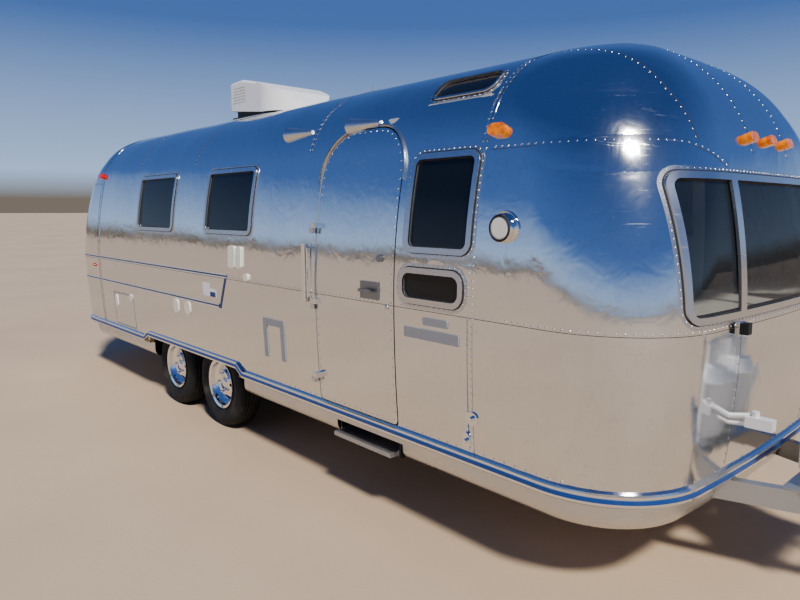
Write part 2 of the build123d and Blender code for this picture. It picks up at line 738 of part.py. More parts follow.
# Floor deck, with the wheel wells let into it.
deck_low = WALL_BASE_Z - DECK_THICKNESS
well_rear, well_front = at(WHEEL_OPENING_REAR) - WELL_SHEET, at(WHEEL_OPENING_FRONT) + WELL_SHEET
well_outer_y = reach_at(SIDE, WALL_BASE_Z, WALL_THICKNESS) - FIT_GAP
deck = extrude(full_plan(0, deck_low), DECK_THICKNESS - FIT_GAP, dir=(0, 0, 1))
deck_cut = box(
    well_rear - FIT_GAP, well_front + FIT_GAP, WELL_INNER_Y - WELL_SHEET - FIT_GAP, OUTSIDE, 0, 1000
)
parts["floor_deck"] = deck - both_sides(deck_cut)
well = box(well_rear, well_front, WELL_INNER_Y - WELL_SHEET, well_outer_y, deck_low, WELL_TOP_Z + WELL_SHEET)
well_space = box(
    at(WHEEL_OPENING_REAR), at(WHEEL_OPENING_FRONT), WELL_INNER_Y, OUTSIDE, 0, WELL_TOP_Z
)
parts["wheel_wells"] = both_sides(well - well_space)

# Belly pan: a rounded sheet tray under the deck, cut out round the wheels, axles and tongue.
belly_top = deck_low - FIT_GAP


def belly_block(inset, bottom):
    tray = extrude(full_plan(inset, bottom), belly_top - bottom, dir=(0, 0, 1))
    rim = tray.faces().sort_by(Axis.Z)[0].edges()
    return fillet(rim, BELLY_RADIUS - (inset - BELLY_INSET))


belly_outer = belly_block(BELLY_INSET, BELLY_BOTTOM_Z)
belly_inner = belly_block(BELLY_INSET + BELLY_SHEET, BELLY_BOTTOM_Z + BELLY_SHEET)
belly = belly_outer - belly_inner
belly_wheel_cut = box(
    at(WHEEL_OPENING_REAR), at(WHEEL_OPENING_FRONT), WELL_INNER_Y - WELL_SHEET, OUTSIDE, 0, 600
)
belly = belly - both_sides(belly_wheel_cut)
axle_stations = (FRONT_AXLE_STATION, FRONT_AXLE_STATION - AXLE_SPACING)
bay_rear = at(axle_stations[1]) - 60
bay_front = at(axle_stations[0]) + AXLE_ARM_LENGTH + 70
belly = belly - box(bay_rear, bay_front, -1000, 1000, 0, deck_low)
belly = belly - box(
    at(STEP_REAR) - STEP_RECESS_SIDE, at(STEP_FRONT) + STEP_RECESS_SIDE,
    -OUTSIDE, STEP_RECESS_DEPTH - BODY_WIDTH / 2, 0, STEP_RECESS_TOP_Z,
)


# Chassis: channel rails, cross members and a boxed A-frame tongue.
frame_top = deck_low - FIT_GAP
frame_low = frame_top - CHANNEL_DEPTH


def channel(length):
    """C channel along +X from the origin, open to +Y, its web at y = 0 and its top at z = 0."""
    face = Plane.YZ * Polyline(
        (0, 0),
        (CHANNEL_FLANGE, 0),
        (CHANNEL_FLANGE, -CHANNEL_WALL),
        (CHANNEL_WALL, -CHANNEL_WALL),
        (CHANNEL_WALL, CHANNEL_WALL - CHANNEL_DEPTH),
        (CHANNEL_FLANGE, CHANNEL_WALL - CHANNEL_DEPTH),
        (CHANNEL_FLANGE, -CHANNEL_DEPTH),
        (0, -CHANNEL_DEPTH),
        close=True,
    )
    return extrude(make_face(face), length, dir=(1, 0, 0))


rail_rear = at(-BARREL_LENGTH - BASE_DEPTH) - BUMPER_GAP + SEAT_GAP
rail_end = at(TONGUE_BEND_STATION)
main_rail = Pos(rail_rear, CHASSIS_RAIL_Y - CHANNEL_FLANGE, frame_top) * channel(rail_end - rail_rear)
cross_half = CHASSIS_RAIL_Y - CHANNEL_FLANGE - SEAT_GAP
cross_count = 9
cross_step = (rail_end - rail_rear - CHANNEL_FLANGE) / (cross_count - 1)
parts["chassis_rails"] = both_sides(main_rail)
cross = Rot(0, 0, 90) * channel(2 * cross_half)
parts["cross_members"] = [
    Pos(rail_rear + CHANNEL_FLANGE + k * cross_step, -cross_half, frame_top) * cross
    for k in range(cross_count)
]


def tongue_rail():
    """Boxed rail from the front of the main rail in to the coupler."""
    bend_y, tip_y = CHASSIS_RAIL_Y - CHANNEL_FLANGE / 2, TONGUE_TIP_HALF_GAP + CHANNEL_FLANGE / 2
    middle_z = frame_top - CHANNEL_DEPTH / 2
    start = Vector(at(TONGUE_BEND_STATION) + SEAT_GAP, bend_y, middle_z)
    end = Vector(at(TONGUE_TIP_STATION), tip_y, middle_z)
    run = end - start
    plane = Plane(origin=start, x_dir=(0, 0, 1), z_dir=run.normalized())
    return extrude(plane * Rectangle(CHANNEL_DEPTH, CHANNEL_FLANGE), run.length)


tongue = both_sides(tongue_rail()) - box(
    at(TONGUE_BEND_STATION) - 100, at(TONGUE_BEND_STATION) + SEAT_GAP, -800, 800, 0, 600
)
jack_plate = box(
    at(JACK_STATION) - JACK_PLATE_LENGTH / 2, at(JACK_STATION) + JACK_PLATE_LENGTH / 2,
    -JACK_PLATE_WIDTH / 2, JACK_PLATE_WIDTH / 2, frame_top - JACK_PLATE_THICKNESS, frame_top,
)
jack_bore = Pos(at(JACK_STATION), 0, frame_top) * Cylinder(JACK_TUBE_RADIUS + FIT_GAP, 60)
parts["tongue_frame"] = tongue + jack_plate - jack_bore
tongue_slot = both_sides(
    extrude(
        Plane(
            origin=(at(TONGUE_BEND_STATION) - 20, CHASSIS_RAIL_Y - CHANNEL_FLANGE / 2 + 8, frame_top - 60),
            x_dir=(0, 0, 1),
            z_dir=(
                TONGUE_TIP_STATION - TONGUE_BEND_STATION,
                TONGUE_TIP_HALF_GAP + CHANNEL_FLANGE - CHASSIS_RAIL_Y,
                0,
            ),
        )
        * Rectangle(CHANNEL_DEPTH + 60, CHANNEL_FLANGE + 30),
        900,
    )
)
rail_slot = box(
    rail_rear - 10, rail_rear + 400, CHASSIS_RAIL_Y - CHANNEL_FLANGE - 6, CHASSIS_RAIL_Y + 6,
    frame_low - 6, frame_top + 10,
)
parts["belly_pan"] = belly - tongue_slot - both_sides(rail_slot)

# Coupler: a boxed tongue head with a ball socket under its nose.
coupler_width = 2 * TONGUE_TIP_HALF_GAP + CHANNEL_FLANGE
head_back, head_front = at(TONGUE_TIP_STATION) + FIT_GAP, at(BALL_STATION) + 50
coupler = box(head_back, at(BALL_STATION), -coupler_width / 2, coupler_width / 2, frame_low + 20, frame_top)
coupler = coupler + Pos(at(BALL_STATION), 0, frame_top - 40) * Cylinder(50, 80)
coupler = coupler & box(head_back, head_front, -200, 200, frame_low, frame_top)
ball_r = BALL_RADIUS + BALL_CLEARANCE
socket_mouth = frame_top - 80
socket = Pos(at(BALL_STATION), 0, socket_mouth + BALL_BORE_LENGTH / 2) * Cylinder(ball_r, BALL_BORE_LENGTH)
socket = socket + Pos(at(BALL_STATION), 0, socket_mouth + BALL_BORE_LENGTH) * Sphere(ball_r)
parts["coupler"] = coupler - socket - box(
    at(BALL_STATION) - 90, head_front, -200, 200, frame_low, socket_mouth
)

# Tongue jack: a fixed tube with a head and crank, and a leg that slides in it down to its foot.
jack_x = at(JACK_STATION)
tube_length = JACK_TUBE_TOP_Z - JACK_TUBE_BOTTOM_Z
tube = Pos(jack_x, 0, JACK_TUBE_BOTTOM_Z + tube_length / 2) * Cylinder(JACK_TUBE_RADIUS, tube_length)
tube_bore = Pos(jack_x, 0, JACK_TUBE_BOTTOM_Z + tube_length / 2 - 10) * Cylinder(
    JACK_TUBE_RADIUS - JACK_TUBE_WALL, tube_length
)
head = Pos(jack_x, 0, JACK_TUBE_TOP_Z + 20) * Cylinder(JACK_HEAD_RADIUS, JACK_HEAD_HEIGHT)
flange_height = JACK_PLATE_THICKNESS
flange = Pos(jack_x, 0, frame_top + flange_height / 2 + FIT_GAP) * Cylinder(JACK_FLANGE_RADIUS, flange_height)
crank_z, grip_x = JACK_TUBE_TOP_Z + CRANK_RISE, jack_x + CRANK_REACH
grip_top = JACK_TUBE_TOP_Z + CRANK_GRIP_TOP
crank = rod((jack_x, 0, JACK_TUBE_TOP_Z + 45), (jack_x, 0, crank_z), CRANK_RADIUS)
crank = crank + rod((jack_x - 12, 0, crank_z), (grip_x + 10, 0, crank_z), CRANK_RADIUS)
crank = crank + rod((grip_x, 0, crank_z - 6), (grip_x, 0, grip_top), CRANK_GRIP_RADIUS)
parts["jack_tube"] = tube + head + flange + crank - tube_bore
leg_top = JACK_FOOT_THICKNESS + JACK_TUBE_TOP_Z - 20 - JACK_TRAVEL - 30
leg_radius = JACK_TUBE_RADIUS - JACK_TUBE_WALL - FIT_GAP
leg = Pos(jack_x, 0, leg_top / 2 + 1) * Cylinder(leg_radius, leg_top - 2)
foot = Pos(jack_x, 0, JACK_FOOT_THICKNESS / 2) * Cylinder(JACK_FOOT_RADIUS, JACK_FOOT_THICKNESS)
parts["jack_leg"] = leg + foot

# Gas bottles on a tray over the tongue rails.
tray_low = frame_top + FIT_GAP
bottle_z = tray_low + TRAY_THICKNESS + SEAT_GAP
bottle_x = at(BOTTLE_STATION)
tray = box(
    bottle_x - TRAY_LENGTH / 2, bottle_x + TRAY_LENGTH / 2, -TRAY_WIDTH / 2, TRAY_WIDTH / 2,
    tray_low, tray_low + TRAY_THICKNESS,
)
post = rod((bottle_x, 0, tray_low + 4), (bottle_x, 0, tray_low + BOTTLE_HEIGHT + 140), 8)
clamp_bar = box(
    bottle_x - 15, bottle_x + 15, -BOTTLE_Y, BOTTLE_Y,
    bottle_z + BOTTLE_HEIGHT + 100 + SEAT_GAP, bottle_z + BOTTLE_HEIGHT + 108,
)
parts["bottle_tray"] = tray + post + clamp_bar


def bottle():
    """Gas bottle: foot ring, domed shell and valve collar, turned about its own axis."""
    r, h = BOTTLE_RADIUS, BOTTLE_HEIGHT
    profile = Polyline(
        (0, 25), (r - 45, 25), (r - 45, 0), (r - 38, 0), (r - 38, 25), (r, 70), (r, h - 100),
        (r - 50, h - 30), (70, h - 15), (70, h + 100), (62, h + 100), (62, h - 5), (0, h), close=True,
    )
    return revolve(Plane.XZ * make_face(profile), Axis.Z)


parts["gas_bottles"] = [
    Pos(bottle_x, y, bottle_z) * bottle() for y in (-BOTTLE_Y, BOTTLE_Y)
]


# Axles: a square tube hung under the main rails, with trailing arms and spindles.
def axle(station):
    x = at(station)
    tube_x = x + AXLE_ARM_LENGTH
    half = AXLE_TUBE / 2
    arm_in, arm_out = WELL_INNER_Y - 110, WELL_INNER_Y - 80
    tube = box(tube_x - half, tube_x + half, -arm_in, arm_in, AXLE_TUBE_Z - half, AXLE_TUBE_Z + half)
    hanger = box(
        tube_x - half, tube_x + half, CHASSIS_RAIL_Y - CHANNEL_FLANGE, CHASSIS_RAIL_Y,
        AXLE_TUBE_Z, frame_low - FIT_GAP,
    )
    arm = box(x - 35, tube_x + half, arm_in, arm_out, AXLE_TUBE_Z - 35, AXLE_TUBE_Z + 35)
    spindle = rod((x, arm_in + 5, WHEEL_RADIUS), (x, WHEEL_CENTRE_Y + 30, WHEEL_RADIUS), SPINDLE_RADIUS)
    return tube + both_sides(hanger + arm + spindle)


for name, station in zip(("axle_front", "axle_rear"), axle_stations):
    parts[name] = axle(station)


# Wheels: a dished rim with its drum and hub, and a tyre.
def rim():
    """Rim turned about the Y axis, its outer face toward -Y."""
    r, w = RIM_RADIUS, TYRE_WIDTH / 2 - 20
    barrel_ring = Polyline(
        (r - 9, -w), (r + RIM_LIP, -w - 7), (r + RIM_LIP, -w), (r, -w + 6), (r - 1, -w + 40),
        (r - 25, -w + 60), (r - 25, w - 50), (r - 1, w - 35), (r, w - 6), (r + RIM_LIP, w),
        (r + RIM_LIP, w + 7), (r - 9, w), (r - 9, w - 35), (r - 33, w - 55), (r - 33, -w + 58),
        (r - 9, -w + 38), close=True,
    )
    disc = Polyline(
        (0, -40), (45, -40), (60, -60), (95, -62), (r - 30, -20), (r - 30, -8), (95, -50),
        (60, -48), (50, -28), (50, 0), (140, 0), (140, 60), (0, 60), close=True,
    )
    turned = revolve(Plane.XY * make_face(barrel_ring), Axis.Y)
    turned = turned + revolve(Plane.XY * make_face(disc), Axis.Y)
    hub_bore = Rot(90, 0, 0) * Cylinder(SPINDLE_RADIUS + FIT_GAP, 200)
    slots = Rot(90, 0, 0) * PolarLocations(118, 5) * SlotOverall(48, 26)
    slot_cut = extrude(Sketch() + slots, 120, dir=(0, -1, 0))
    return turned - Pos(0, 60, 0) * hub_bore - slot_cut


def tyre():
    """Tyre turned about the Y axis, seated round the rim."""
    inner, outer, half = RIM_RADIUS + SEAT_GAP, WHEEL_RADIUS, TYRE_WIDTH / 2
    bead = half - 28
    section = make_face(
        Polyline(
            (inner, -bead), (inner + 18, -bead), (inner + 60, -half), (outer - 45, -half),
            (outer - 8, -half + 22), (outer, -half + 50), (outer, half - 50), (outer - 8, half - 22),
            (outer - 45, half), (inner + 60, half), (inner + 18, bead), (inner, bead), close=True,
        )
    )
    return revolve(Plane.XY * section, Axis.Y)


rim_shape, tyre_shape = rim(), tyre()
for side, side_name in ((-1, "curb"), (1, "street")):
    for name, station in zip(("front", "rear"), axle_stations):
        place = Pos(at(station), side * WHEEL_CENTRE_Y, WHEEL_RADIUS)
        turn = Rot(0, 0, 0) if side < 0 else Rot(0, 0, 180)
        parts[f"rim_{name}_{side_name}"] = place * turn * rim_shape
        parts[f"tyre_{name}_{side_name}"] = place * turn * tyre_shape

# Entry door: a skin panel and a narrower inner panel, hung on three hinges.
door_skin = barrel_slab(0, DOOR_SKIN, DOOR_REAR, DOOR_FRONT)
door_core = barrel_slab(DOOR_SKIN, WALL_THICKNESS, DOOR_REAR, DOOR_FRONT)
door = door_skin & side_prism(door_outline(DOOR_GAP), -1)
door = door + (door_core & side_prism(door_outline(DOOR_GAP + DOOR_REBATE), -1))
hinge_x, hinge_y = at(DOOR_REAR), -(BODY_WIDTH / 2 + HINGE_OUT)
body_hinges = []
for z in HINGE_HEIGHTS:
    skin_y = -max(reach_at(SIDE, z + end * HINGE_LENGTH) for end in (-1, 0, 1)) - SEAT_GAP
    low = rod((hinge_x, hinge_y, z - HINGE_LENGTH), (hinge_x, hinge_y, z - FIT_GAP), HINGE_RADIUS)
    high = rod((hinge_x, hinge_y, z + FIT_GAP), (hinge_x, hinge_y, z + HINGE_LENGTH), HINGE_RADIUS)
    leaf = box(hinge_x - HINGE_LEAF, hinge_x, hinge_y - HINGE_RADIUS, skin_y, z - HINGE_LENGTH, z - FIT_GAP)
    tab_end = hinge_x + DOOR_GAP + HINGE_LEAF
    tab = box(hinge_x, tab_end, hinge_y - HINGE_RADIUS, skin_y + 12, z + FIT_GAP, z + HINGE_LENGTH)
    body_hinges.append(low + leaf)
    door = door + high + tab
parts["door_hinges"] = body_hinges
gutter = side_prism(door_outline(-GUTTER_OUT - GUTTER_WIDTH), -1) - side_prism(door_outline(-GUTTER_OUT), -1)
gutter = gutter & box(at(DOOR_REAR) - 60, at(DOOR_FRONT) + 60, -OUTSIDE, 0, GUTTER_LOW_Z, ROOF_Z)
for station, z in COWLS:
    gutter = gutter - box(
        at(station) - 3, at(station) + COWL_LENGTH + 3, -OUTSIDE, 0,
        z - COWL_REAR_RADIUS - 3, z + COWL_REAR_RADIUS + 3,
    )
gutter_slab = barrel_slab(-GUTTER_PROUD, -SEAT_GAP, DOOR_REAR - 60, DOOR_FRONT + 60)
parts["door_gutter"] = gutter_slab & gutter
parts["door_panel"] = door

# Latch plate with its pull, and the deadbolt above it.
latch_x, latch_y = at(LATCH_STATION), -BODY_WIDTH / 2
latch_low, latch_high = LATCH_Z - LATCH_HEIGHT / 2, LATCH_Z + LATCH_HEIGHT / 2
latch = box(
    latch_x - LATCH_WIDTH / 2, latch_x + LATCH_WIDTH / 2, latch_y - LATCH_PLATE, latch_y - SEAT_GAP,
    latch_low, latch_high,
)
pull_y = latch_y - PULL_OUT
latch = latch + rod((latch_x - 45, latch_y - 8, LATCH_Z), (latch_x - 45, pull_y + 6, LATCH_Z), 9)
latch = latch + box(latch_x - 58, latch_x + 42, pull_y, pull_y + 10, LATCH_Z - 9, LATCH_Z + 9)
bolt_x, bolt_y = at(BOLT_STATION), -reach_at(SIDE, BOLT_Z - BOLT_RADIUS)
bolt = rod((bolt_x, bolt_y - SEAT_GAP, BOLT_Z), (bolt_x, bolt_y - 14, BOLT_Z), BOLT_RADIUS)
parts["door_latch"] = [latch, bolt]

# Grab handle beside the door, on two feet.
handle_x, handle_y = at(HANDLE_STATION), -(BODY_WIDTH / 2 + HANDLE_OUT)
half_wide, half_deep, half_foot = HANDLE_WIDTH / 2, HANDLE_DEPTH / 2, HANDLE_FOOT / 2
grip = box(
    handle_x - half_wide, handle_x + half_wide, handle_y - half_deep, handle_y + half_deep,
    HANDLE_LOW_Z, HANDLE_HIGH_Z,
)
grip = fillet(grip.edges().filter_by(Axis.Z), 6)
for z in (HANDLE_LOW_Z + half_foot, HANDLE_HIGH_Z - half_foot):
    foot_y = -max(reach_at(SIDE, z - half_foot), reach_at(SIDE, z + half_foot)) - SEAT_GAP
    grip = grip + box(
        handle_x - half_foot, handle_x + half_foot, handle_y, foot_y, z - half_foot, z + half_foot
    )
parts["grab_handle"] = grip

# Entry step: it sits in a recess of the belly pan, on slides that hang from the deck, and pulls out.
step_y = STEP_INSET - BODY_WIDTH / 2
step_rear, step_front = at(STEP_REAR), at(STEP_FRONT)
slide_rear, slide_front = step_rear - STEP_RUNNER - STEP_SLIDE, step_front + STEP_RUNNER
parts["step_slides"] = [
    box(x0, x0 + STEP_SLIDE, step_y + 65, step_y + 435, STEP_SLIDE_LOW_Z, deck_low - FIT_GAP)
    for x0 in (slide_rear, slide_front)
]
step_high = STEP_LOW_Z + STEP_TREAD
tread = box(step_rear, step_front, step_y, step_y + STEP_DEPTH, STEP_LOW_Z, step_high)
for x0 in (step_rear - STEP_RUNNER + FIT_GAP, step_front - FIT_GAP):
    tread = tread + box(x0, x0 + STEP_RUNNER, step_y + 60, step_y + 420, STEP_LOW_Z, step_high + 8)
parts["entry_step"] = tread

# Roof air conditioner: a base pan on the crown, and a shroud that rises off it toward its louvred tail.
unit_rear, unit_front = at(AIRCON_REAR), at(AIRCON_FRONT)
half_w = AIRCON_WIDTH / 2
pan_top = ROOF_Z + 14
shroud_back = [(at(station), AIRCON_TOP_Z - drop) for station, drop in AIRCON_BACK]
shroud_low_rear, shroud_low_front = ROOF_Z + 88, ROOF_Z + 20
shroud_side = make_face(
    Polyline(
        *[(x, 0, z) for x, z in shroud_back],
        (unit_front, 0, shroud_low_front),
        (unit_front - 300, 0, shroud_low_front),
        (unit_rear, 0, shroud_low_rear),
        close=True,
    )
)


def unit_plan(inset, low, high):
    """Block with the unit's plan: a round nose and a square tail."""
    face = make_face(
        Polyline(
            (unit_rear + inset, -half_w + inset), (unit_front - inset, -half_w + inset),
            (unit_front - inset, half_w - inset), (unit_rear + inset, half_w - inset), close=True,
        )
    )
    corners = face.vertices().sort_by(Axis.X)
    face = fillet(corners[2:], AIRCON_NOSE_RADIUS - inset)
    face = fillet(face.vertices().sort_by(Axis.X)[:2], max(5.0, AIRCON_TAIL_RADIUS - inset))
    return extrude(Pos(0, 0, low) * face, high - low)


shroud = extrude(shroud_side, half_w, both=True) & unit_plan(0, ROOF_Z, AIRCON_TOP_Z + 10)
shroud = fillet(shroud.edges().filter_by(lambda e: e.center().Z > AIRCON_TOP_Z - 60), 26)
louvres = []
for side in (-1, 1):
    for k in range(AIRCON_LOUVRES):
        z = shroud_low_rear + 50 + k * LOUVRE_PITCH
        louvres.append(
            box(
                unit_rear + 90, unit_rear + 330, side * (half_w - LOUVRE_DEPTH), side * (half_w + 10),
                z, z + LOUVRE_HEIGHT,
            )
        )
for k in range(AIRCON_LOUVRES):
    z = shroud_low_rear + 50 + k * LOUVRE_PITCH
    louvres.append(
        box(unit_rear - 10, unit_rear + LOUVRE_DEPTH, 90 - half_w, half_w - 90, z, z + LOUVRE_HEIGHT)
    )
parts["aircon_cover"] = shroud - louvres
pan = unit_plan(12, ROOF_Z - 90, pan_top) - barrel_cutter
core = unit_plan(60, ROOF_Z - 5, AIRCON_TOP_Z)
core_side = make_face(
    Polyline(
        (unit_rear, 0, ROOF_Z - 5), (unit_rear, 0, shroud_low_rear - SEAT_GAP),
        (unit_front - 300, 0, shroud_low_front - SEAT_GAP), (unit_front, 0, shroud_low_front - SEAT_GAP),
        (unit_front, 0, ROOF_Z - 5), close=True,
    )
)
core = core & extrude(core_side, half_w, both=True)
parts["aircon_base"] = pan + (core - barrel_cutter)

# Roof vents: a base ring on the crown and a hinged lid.
def vent_seat(y):
    """Top of a vent's base ring, over the crown at a distance from the centre line."""
    crown = SIDE[-1]
    return crown[4] + sqrt(crown[0] ** 2 - y**2) + VENT_CURB_HEIGHT


def vent_pin_z(y):
    return vent_seat(y) + SEAT_GAP + VENT_PIN_RADIUS


for name, station, y in ROOF_VENTS:
    x, half = at(station), VENT_SIZE / 2
    seat = vent_seat(y)
    curb = box(x - half, x + half, y - half, y + half, seat - 110, seat)
    curb = curb - box(x - half + 12, x + half - 12, y - half + 12, y + half - 12, seat - 120, seat + 30)
    parts[f"vent_base_{name}"] = curb - barrel_cutter
    lid = box(x - half - 8, x + half, y - half - 8, y + half + 8, seat + SEAT_GAP, seat + VENT_LID)
    lid = fillet(lid.faces().sort_by(Axis.Z)[-1].edges(), 9)
    pin_z = vent_pin_z(y)
    pin = rod((x + half, y - half - 8, pin_z), (x + half, y + half + 8, pin_z), VENT_PIN_RADIUS)
    parts[f"vent_lid_{name}"] = lid + pin

# Rear bumper box with a hinged lid, behind the body.
b1 = at(-BARREL_LENGTH - BASE_DEPTH) - BUMPER_GAP
b0 = b1 - BUMPER_DEPTH
box_low = frame_top - BUMPER_HEIGHT
bumper = box(b0, b1, -BUMPER_HALF_WIDTH, BUMPER_HALF_WIDTH, box_low, frame_top)
bumper = bumper - box(
    b0 + BUMPER_SHEET, b1 - BUMPER_SHEET, BUMPER_SHEET - BUMPER_HALF_WIDTH,
    BUMPER_HALF_WIDTH - BUMPER_SHEET, box_low + BUMPER_SHEET, frame_top + 10,
)
parts["rear_bumper"] = bumper
lid_low = frame_top + SEAT_GAP
lid = box(b0 - 4, b1 - 14, -BUMPER_HALF_WIDTH - 4, BUMPER_HALF_WIDTH + 4, lid_low, lid_low + 6)
lid_pin_x, lid_pin_z = b0 - 4, lid_low + 4
lid_pin = rod((lid_pin_x, -BUMPER_HALF_WIDTH, lid_pin_z), (lid_pin_x, BUMPER_HALF_WIDTH, lid_pin_z), 4)
parts["bumper_lid"] = lid + lid_pin


# Lamps and small fittings on the skin.
def lamp(x, y, z, normal, length, width, proud):
    """Domed oblong lens on the skin, its long way level, before the skin is cut from it."""
    plane = Plane(origin=(x, y, z), x_dir=Vector(0, 0, 1).cross(Vector(*normal)), z_dir=normal)
    block = extrude(plane * SlotOverall(length, width), proud)
    block = block + extrude(plane * SlotOverall(length, width), -30)
    return block


side_lamp_y = reach_at(SIDE, SIDE_LAMP_Z)
side_tilt = slope_at(SIDE, SIDE_LAMP_Z)
amber = []
for side in (-1, 1):
    normal = (0, side * sqrt(1 - side_tilt**2), side_tilt)
    piece = lamp(at(SIDE_LAMP_STATION), side * side_lamp_y, SIDE_LAMP_Z, normal, *SIDE_LAMP_SIZE)
    amber.append(piece - cap_cutter - barrel_cutter)
nose_tilt = slope_at(END, NOSE_LAMP_Z)
nose_normal = (sqrt(1 - nose_tilt**2), 0, nose_tilt)
for y in (-NOSE_LAMP_PITCH, 0.0, NOSE_LAMP_PITCH):
    piece = lamp(at(reach_at(END, NOSE_LAMP_Z)), y, NOSE_LAMP_Z, nose_normal, *NOSE_LAMP_SIZE)
    amber.append(piece - cap_cutter)
parts["lamps_amber"] = amber
red = [to_rear(piece) for piece in amber]
tail_x = reach_at(END, TAIL_LAMP_Z) - (END_BULGE_RADIUS - sqrt(END_BULGE_RADIUS**2 - TAIL_LAMP_Y**2))
for side in (-1, 1):
    marker_x, marker_y = at(-MARKER_STATION - BARREL_LENGTH), side * reach_at(SIDE, MARKER_Z)
    marker = lamp(marker_x, marker_y, MARKER_Z, (0, side, 0), *MARKER_SIZE)
    red.append(to_rear(marker - cap_cutter))
    tail = lamp(at(tail_x), side * TAIL_LAMP_Y, TAIL_LAMP_Z, (1, 0, 0), *TAIL_LAMP_SIZE)
    red.append(to_rear(tail - cap_cutter))
parts["lamps_red"] = red

porch_y = -reach_at(SIDE, PORCH_Z)
porch_x = at(PORCH_STATION)
porch = rod((porch_x, porch_y + 20, PORCH_Z), (porch_x, porch_y - PORCH_PROUD, PORCH_Z), PORCH_RADIUS)
porch = fillet(porch.faces().sort_by(Axis.Y)[0].edges(), PORCH_ROUNDING)
parts["porch_lamp"] = porch - cap_cutter


def patch(side, rear, front, low, high, radius, proud, hollow=0.0):
    """Plate that lies on the side skin, with its middle open where a rim width is given."""
    slab = barrel_slab(-proud, -SEAT_GAP, rear, front)
    plate = slab & side_prism(side_outline(rear, front, low, high, radius), side)
    if hollow:
        plate = plate - side_prism(side_outline(rear, front, low, high, radius, -hollow), side)
    return plate


plates = [
    patch(side, rear, front, low, high, radius, proud, rim_width)
    for rear, front, low, high, radius, proud, rim_width, side in PLATES
]
open_rear, open_front, open_low, open_high = FRIDGE_VENT_OPEN
plates[0] = plates[0] - box(at(open_rear), at(open_front), -OUTSIDE, 0, open_low, open_high)
plates[3] = plates[3] - side_prism(side_outline(*COVERS[-1][:5], FIT_GAP), -1)
parts["service_plates"] = plates

parts["white_covers"] = [
    patch(-1, rear, front, low, high, radius, proud) for rear, front, low, high, radius, proud in COVERS
]

inlets = []
for station, z, half_wide, half_tall in INLETS:
    place = Plane(origin=(at(station), 0, z), x_dir=(1, 0, 0), z_dir=(0, -1, 0))
    outline = place * Ellipse(half_wide, half_tall)
    reach = (station - 60, min(station + 60, 0))
    disc = barrel_slab(-INLET_PROUD, -SEAT_GAP, *reach) & side_prism(outline, -1)
    knob = barrel_slab(-INLET_KNOB_PROUD, -SEAT_GAP, *reach)
    knob = knob & side_prism(place * Circle(INLET_KNOB_RADIUS), -1)
    inlets.append(disc + knob)
parts["side_inlets"] = inlets

# Trim stripes round the rear: an upper and a lower band joined by a slanted one at the front.
stripe_side = barrel_slab(-STRIPE_PROUD, -SEAT_GAP, -BARREL_LENGTH + SEAT_GAP, STRIPE_FRONT)
stripe_cap = to_rear(cap_slab(-STRIPE_PROUD, -SEAT_GAP))
levels = [
    box(at(-BARREL_LENGTH - END_DEPTH - 50), at(STRIPE_FRONT), -OUTSIDE, OUTSIDE, z, z + STRIPE_HEIGHT)
    for z in (STRIPE_LOW_Z, STRIPE_HIGH_Z)
]
slant = make_face(
    Polyline(
        (at(STRIPE_FRONT - STRIPE_SLANT), 0, STRIPE_LOW_Z),
        (at(STRIPE_FRONT - STRIPE_SLANT) + STRIPE_HEIGHT, 0, STRIPE_LOW_Z),
        (at(STRIPE_FRONT), 0, STRIPE_HIGH_Z + STRIPE_HEIGHT),
        (at(STRIPE_FRONT) - STRIPE_HEIGHT, 0, STRIPE_HIGH_Z + STRIPE_HEIGHT),
        close=True,
    )
)
past_slant = extrude(
    make_face(
        Polyline(
            (at(STRIPE_FRONT - STRIPE_SLANT) + 1, 0, STRIPE_LOW_Z - 1),
            (at(STRIPE_FRONT) + 1, 0, STRIPE_LOW_Z - 1),
            (at(STRIPE_FRONT) + 1, 0, STRIPE_HIGH_Z + STRIPE_HEIGHT),
            (at(STRIPE_FRONT) + 0.5 - STRIPE_HEIGHT, 0, STRIPE_HIGH_Z + STRIPE_HEIGHT),
            close=True,
        )
    ),
    OUTSIDE,
    both=True,
)
side_bands = stripe_side & (levels[0] + levels[1])
side_bands = (side_bands - past_slant) + (stripe_side & extrude(slant, OUTSIDE, both=True))
cap_bands = [stripe_cap & level for level in levels]
parts["trim_stripes"] = [side_bands] + cap_bands


# Cowls on the roof shoulder over the door: half cones, open at the rear, that die out forward.


def cowl(station, z):
    y = -reach_at(SIDE, z)
    start = Plane(origin=(at(station), y, z), x_dir=(0, 1, 0), z_dir=(1, 0, 0))
    middle = start.offset(COWL_LENGTH / 2)
    outer = middle * Cone(COWL_REAR_RADIUS, COWL_FRONT_RADIUS, COWL_LENGTH)
    hollow = middle.offset(-2 * COWL_SHEET) * Cone(
        COWL_REAR_RADIUS - COWL_SHEET, COWL_FRONT_RADIUS - COWL_SHEET, COWL_LENGTH
    )
    return outer - hollow - barrel_cutter


parts["roof_scoops"] = [cowl(station, z) for station, z in COWLS]

# Shelf across the nose, just below the sill of its window, seated in the end cap.
shelf = cap_solid(WALL_THICKNESS + SEAT_GAP) & box(
    at(SHELF_BACK), at(END_DEPTH), -OUTSIDE, OUTSIDE, SHELF_TOP_Z - SHELF_THICKNESS, SHELF_TOP_Z
)
parts["nose_shelf"] = shelf

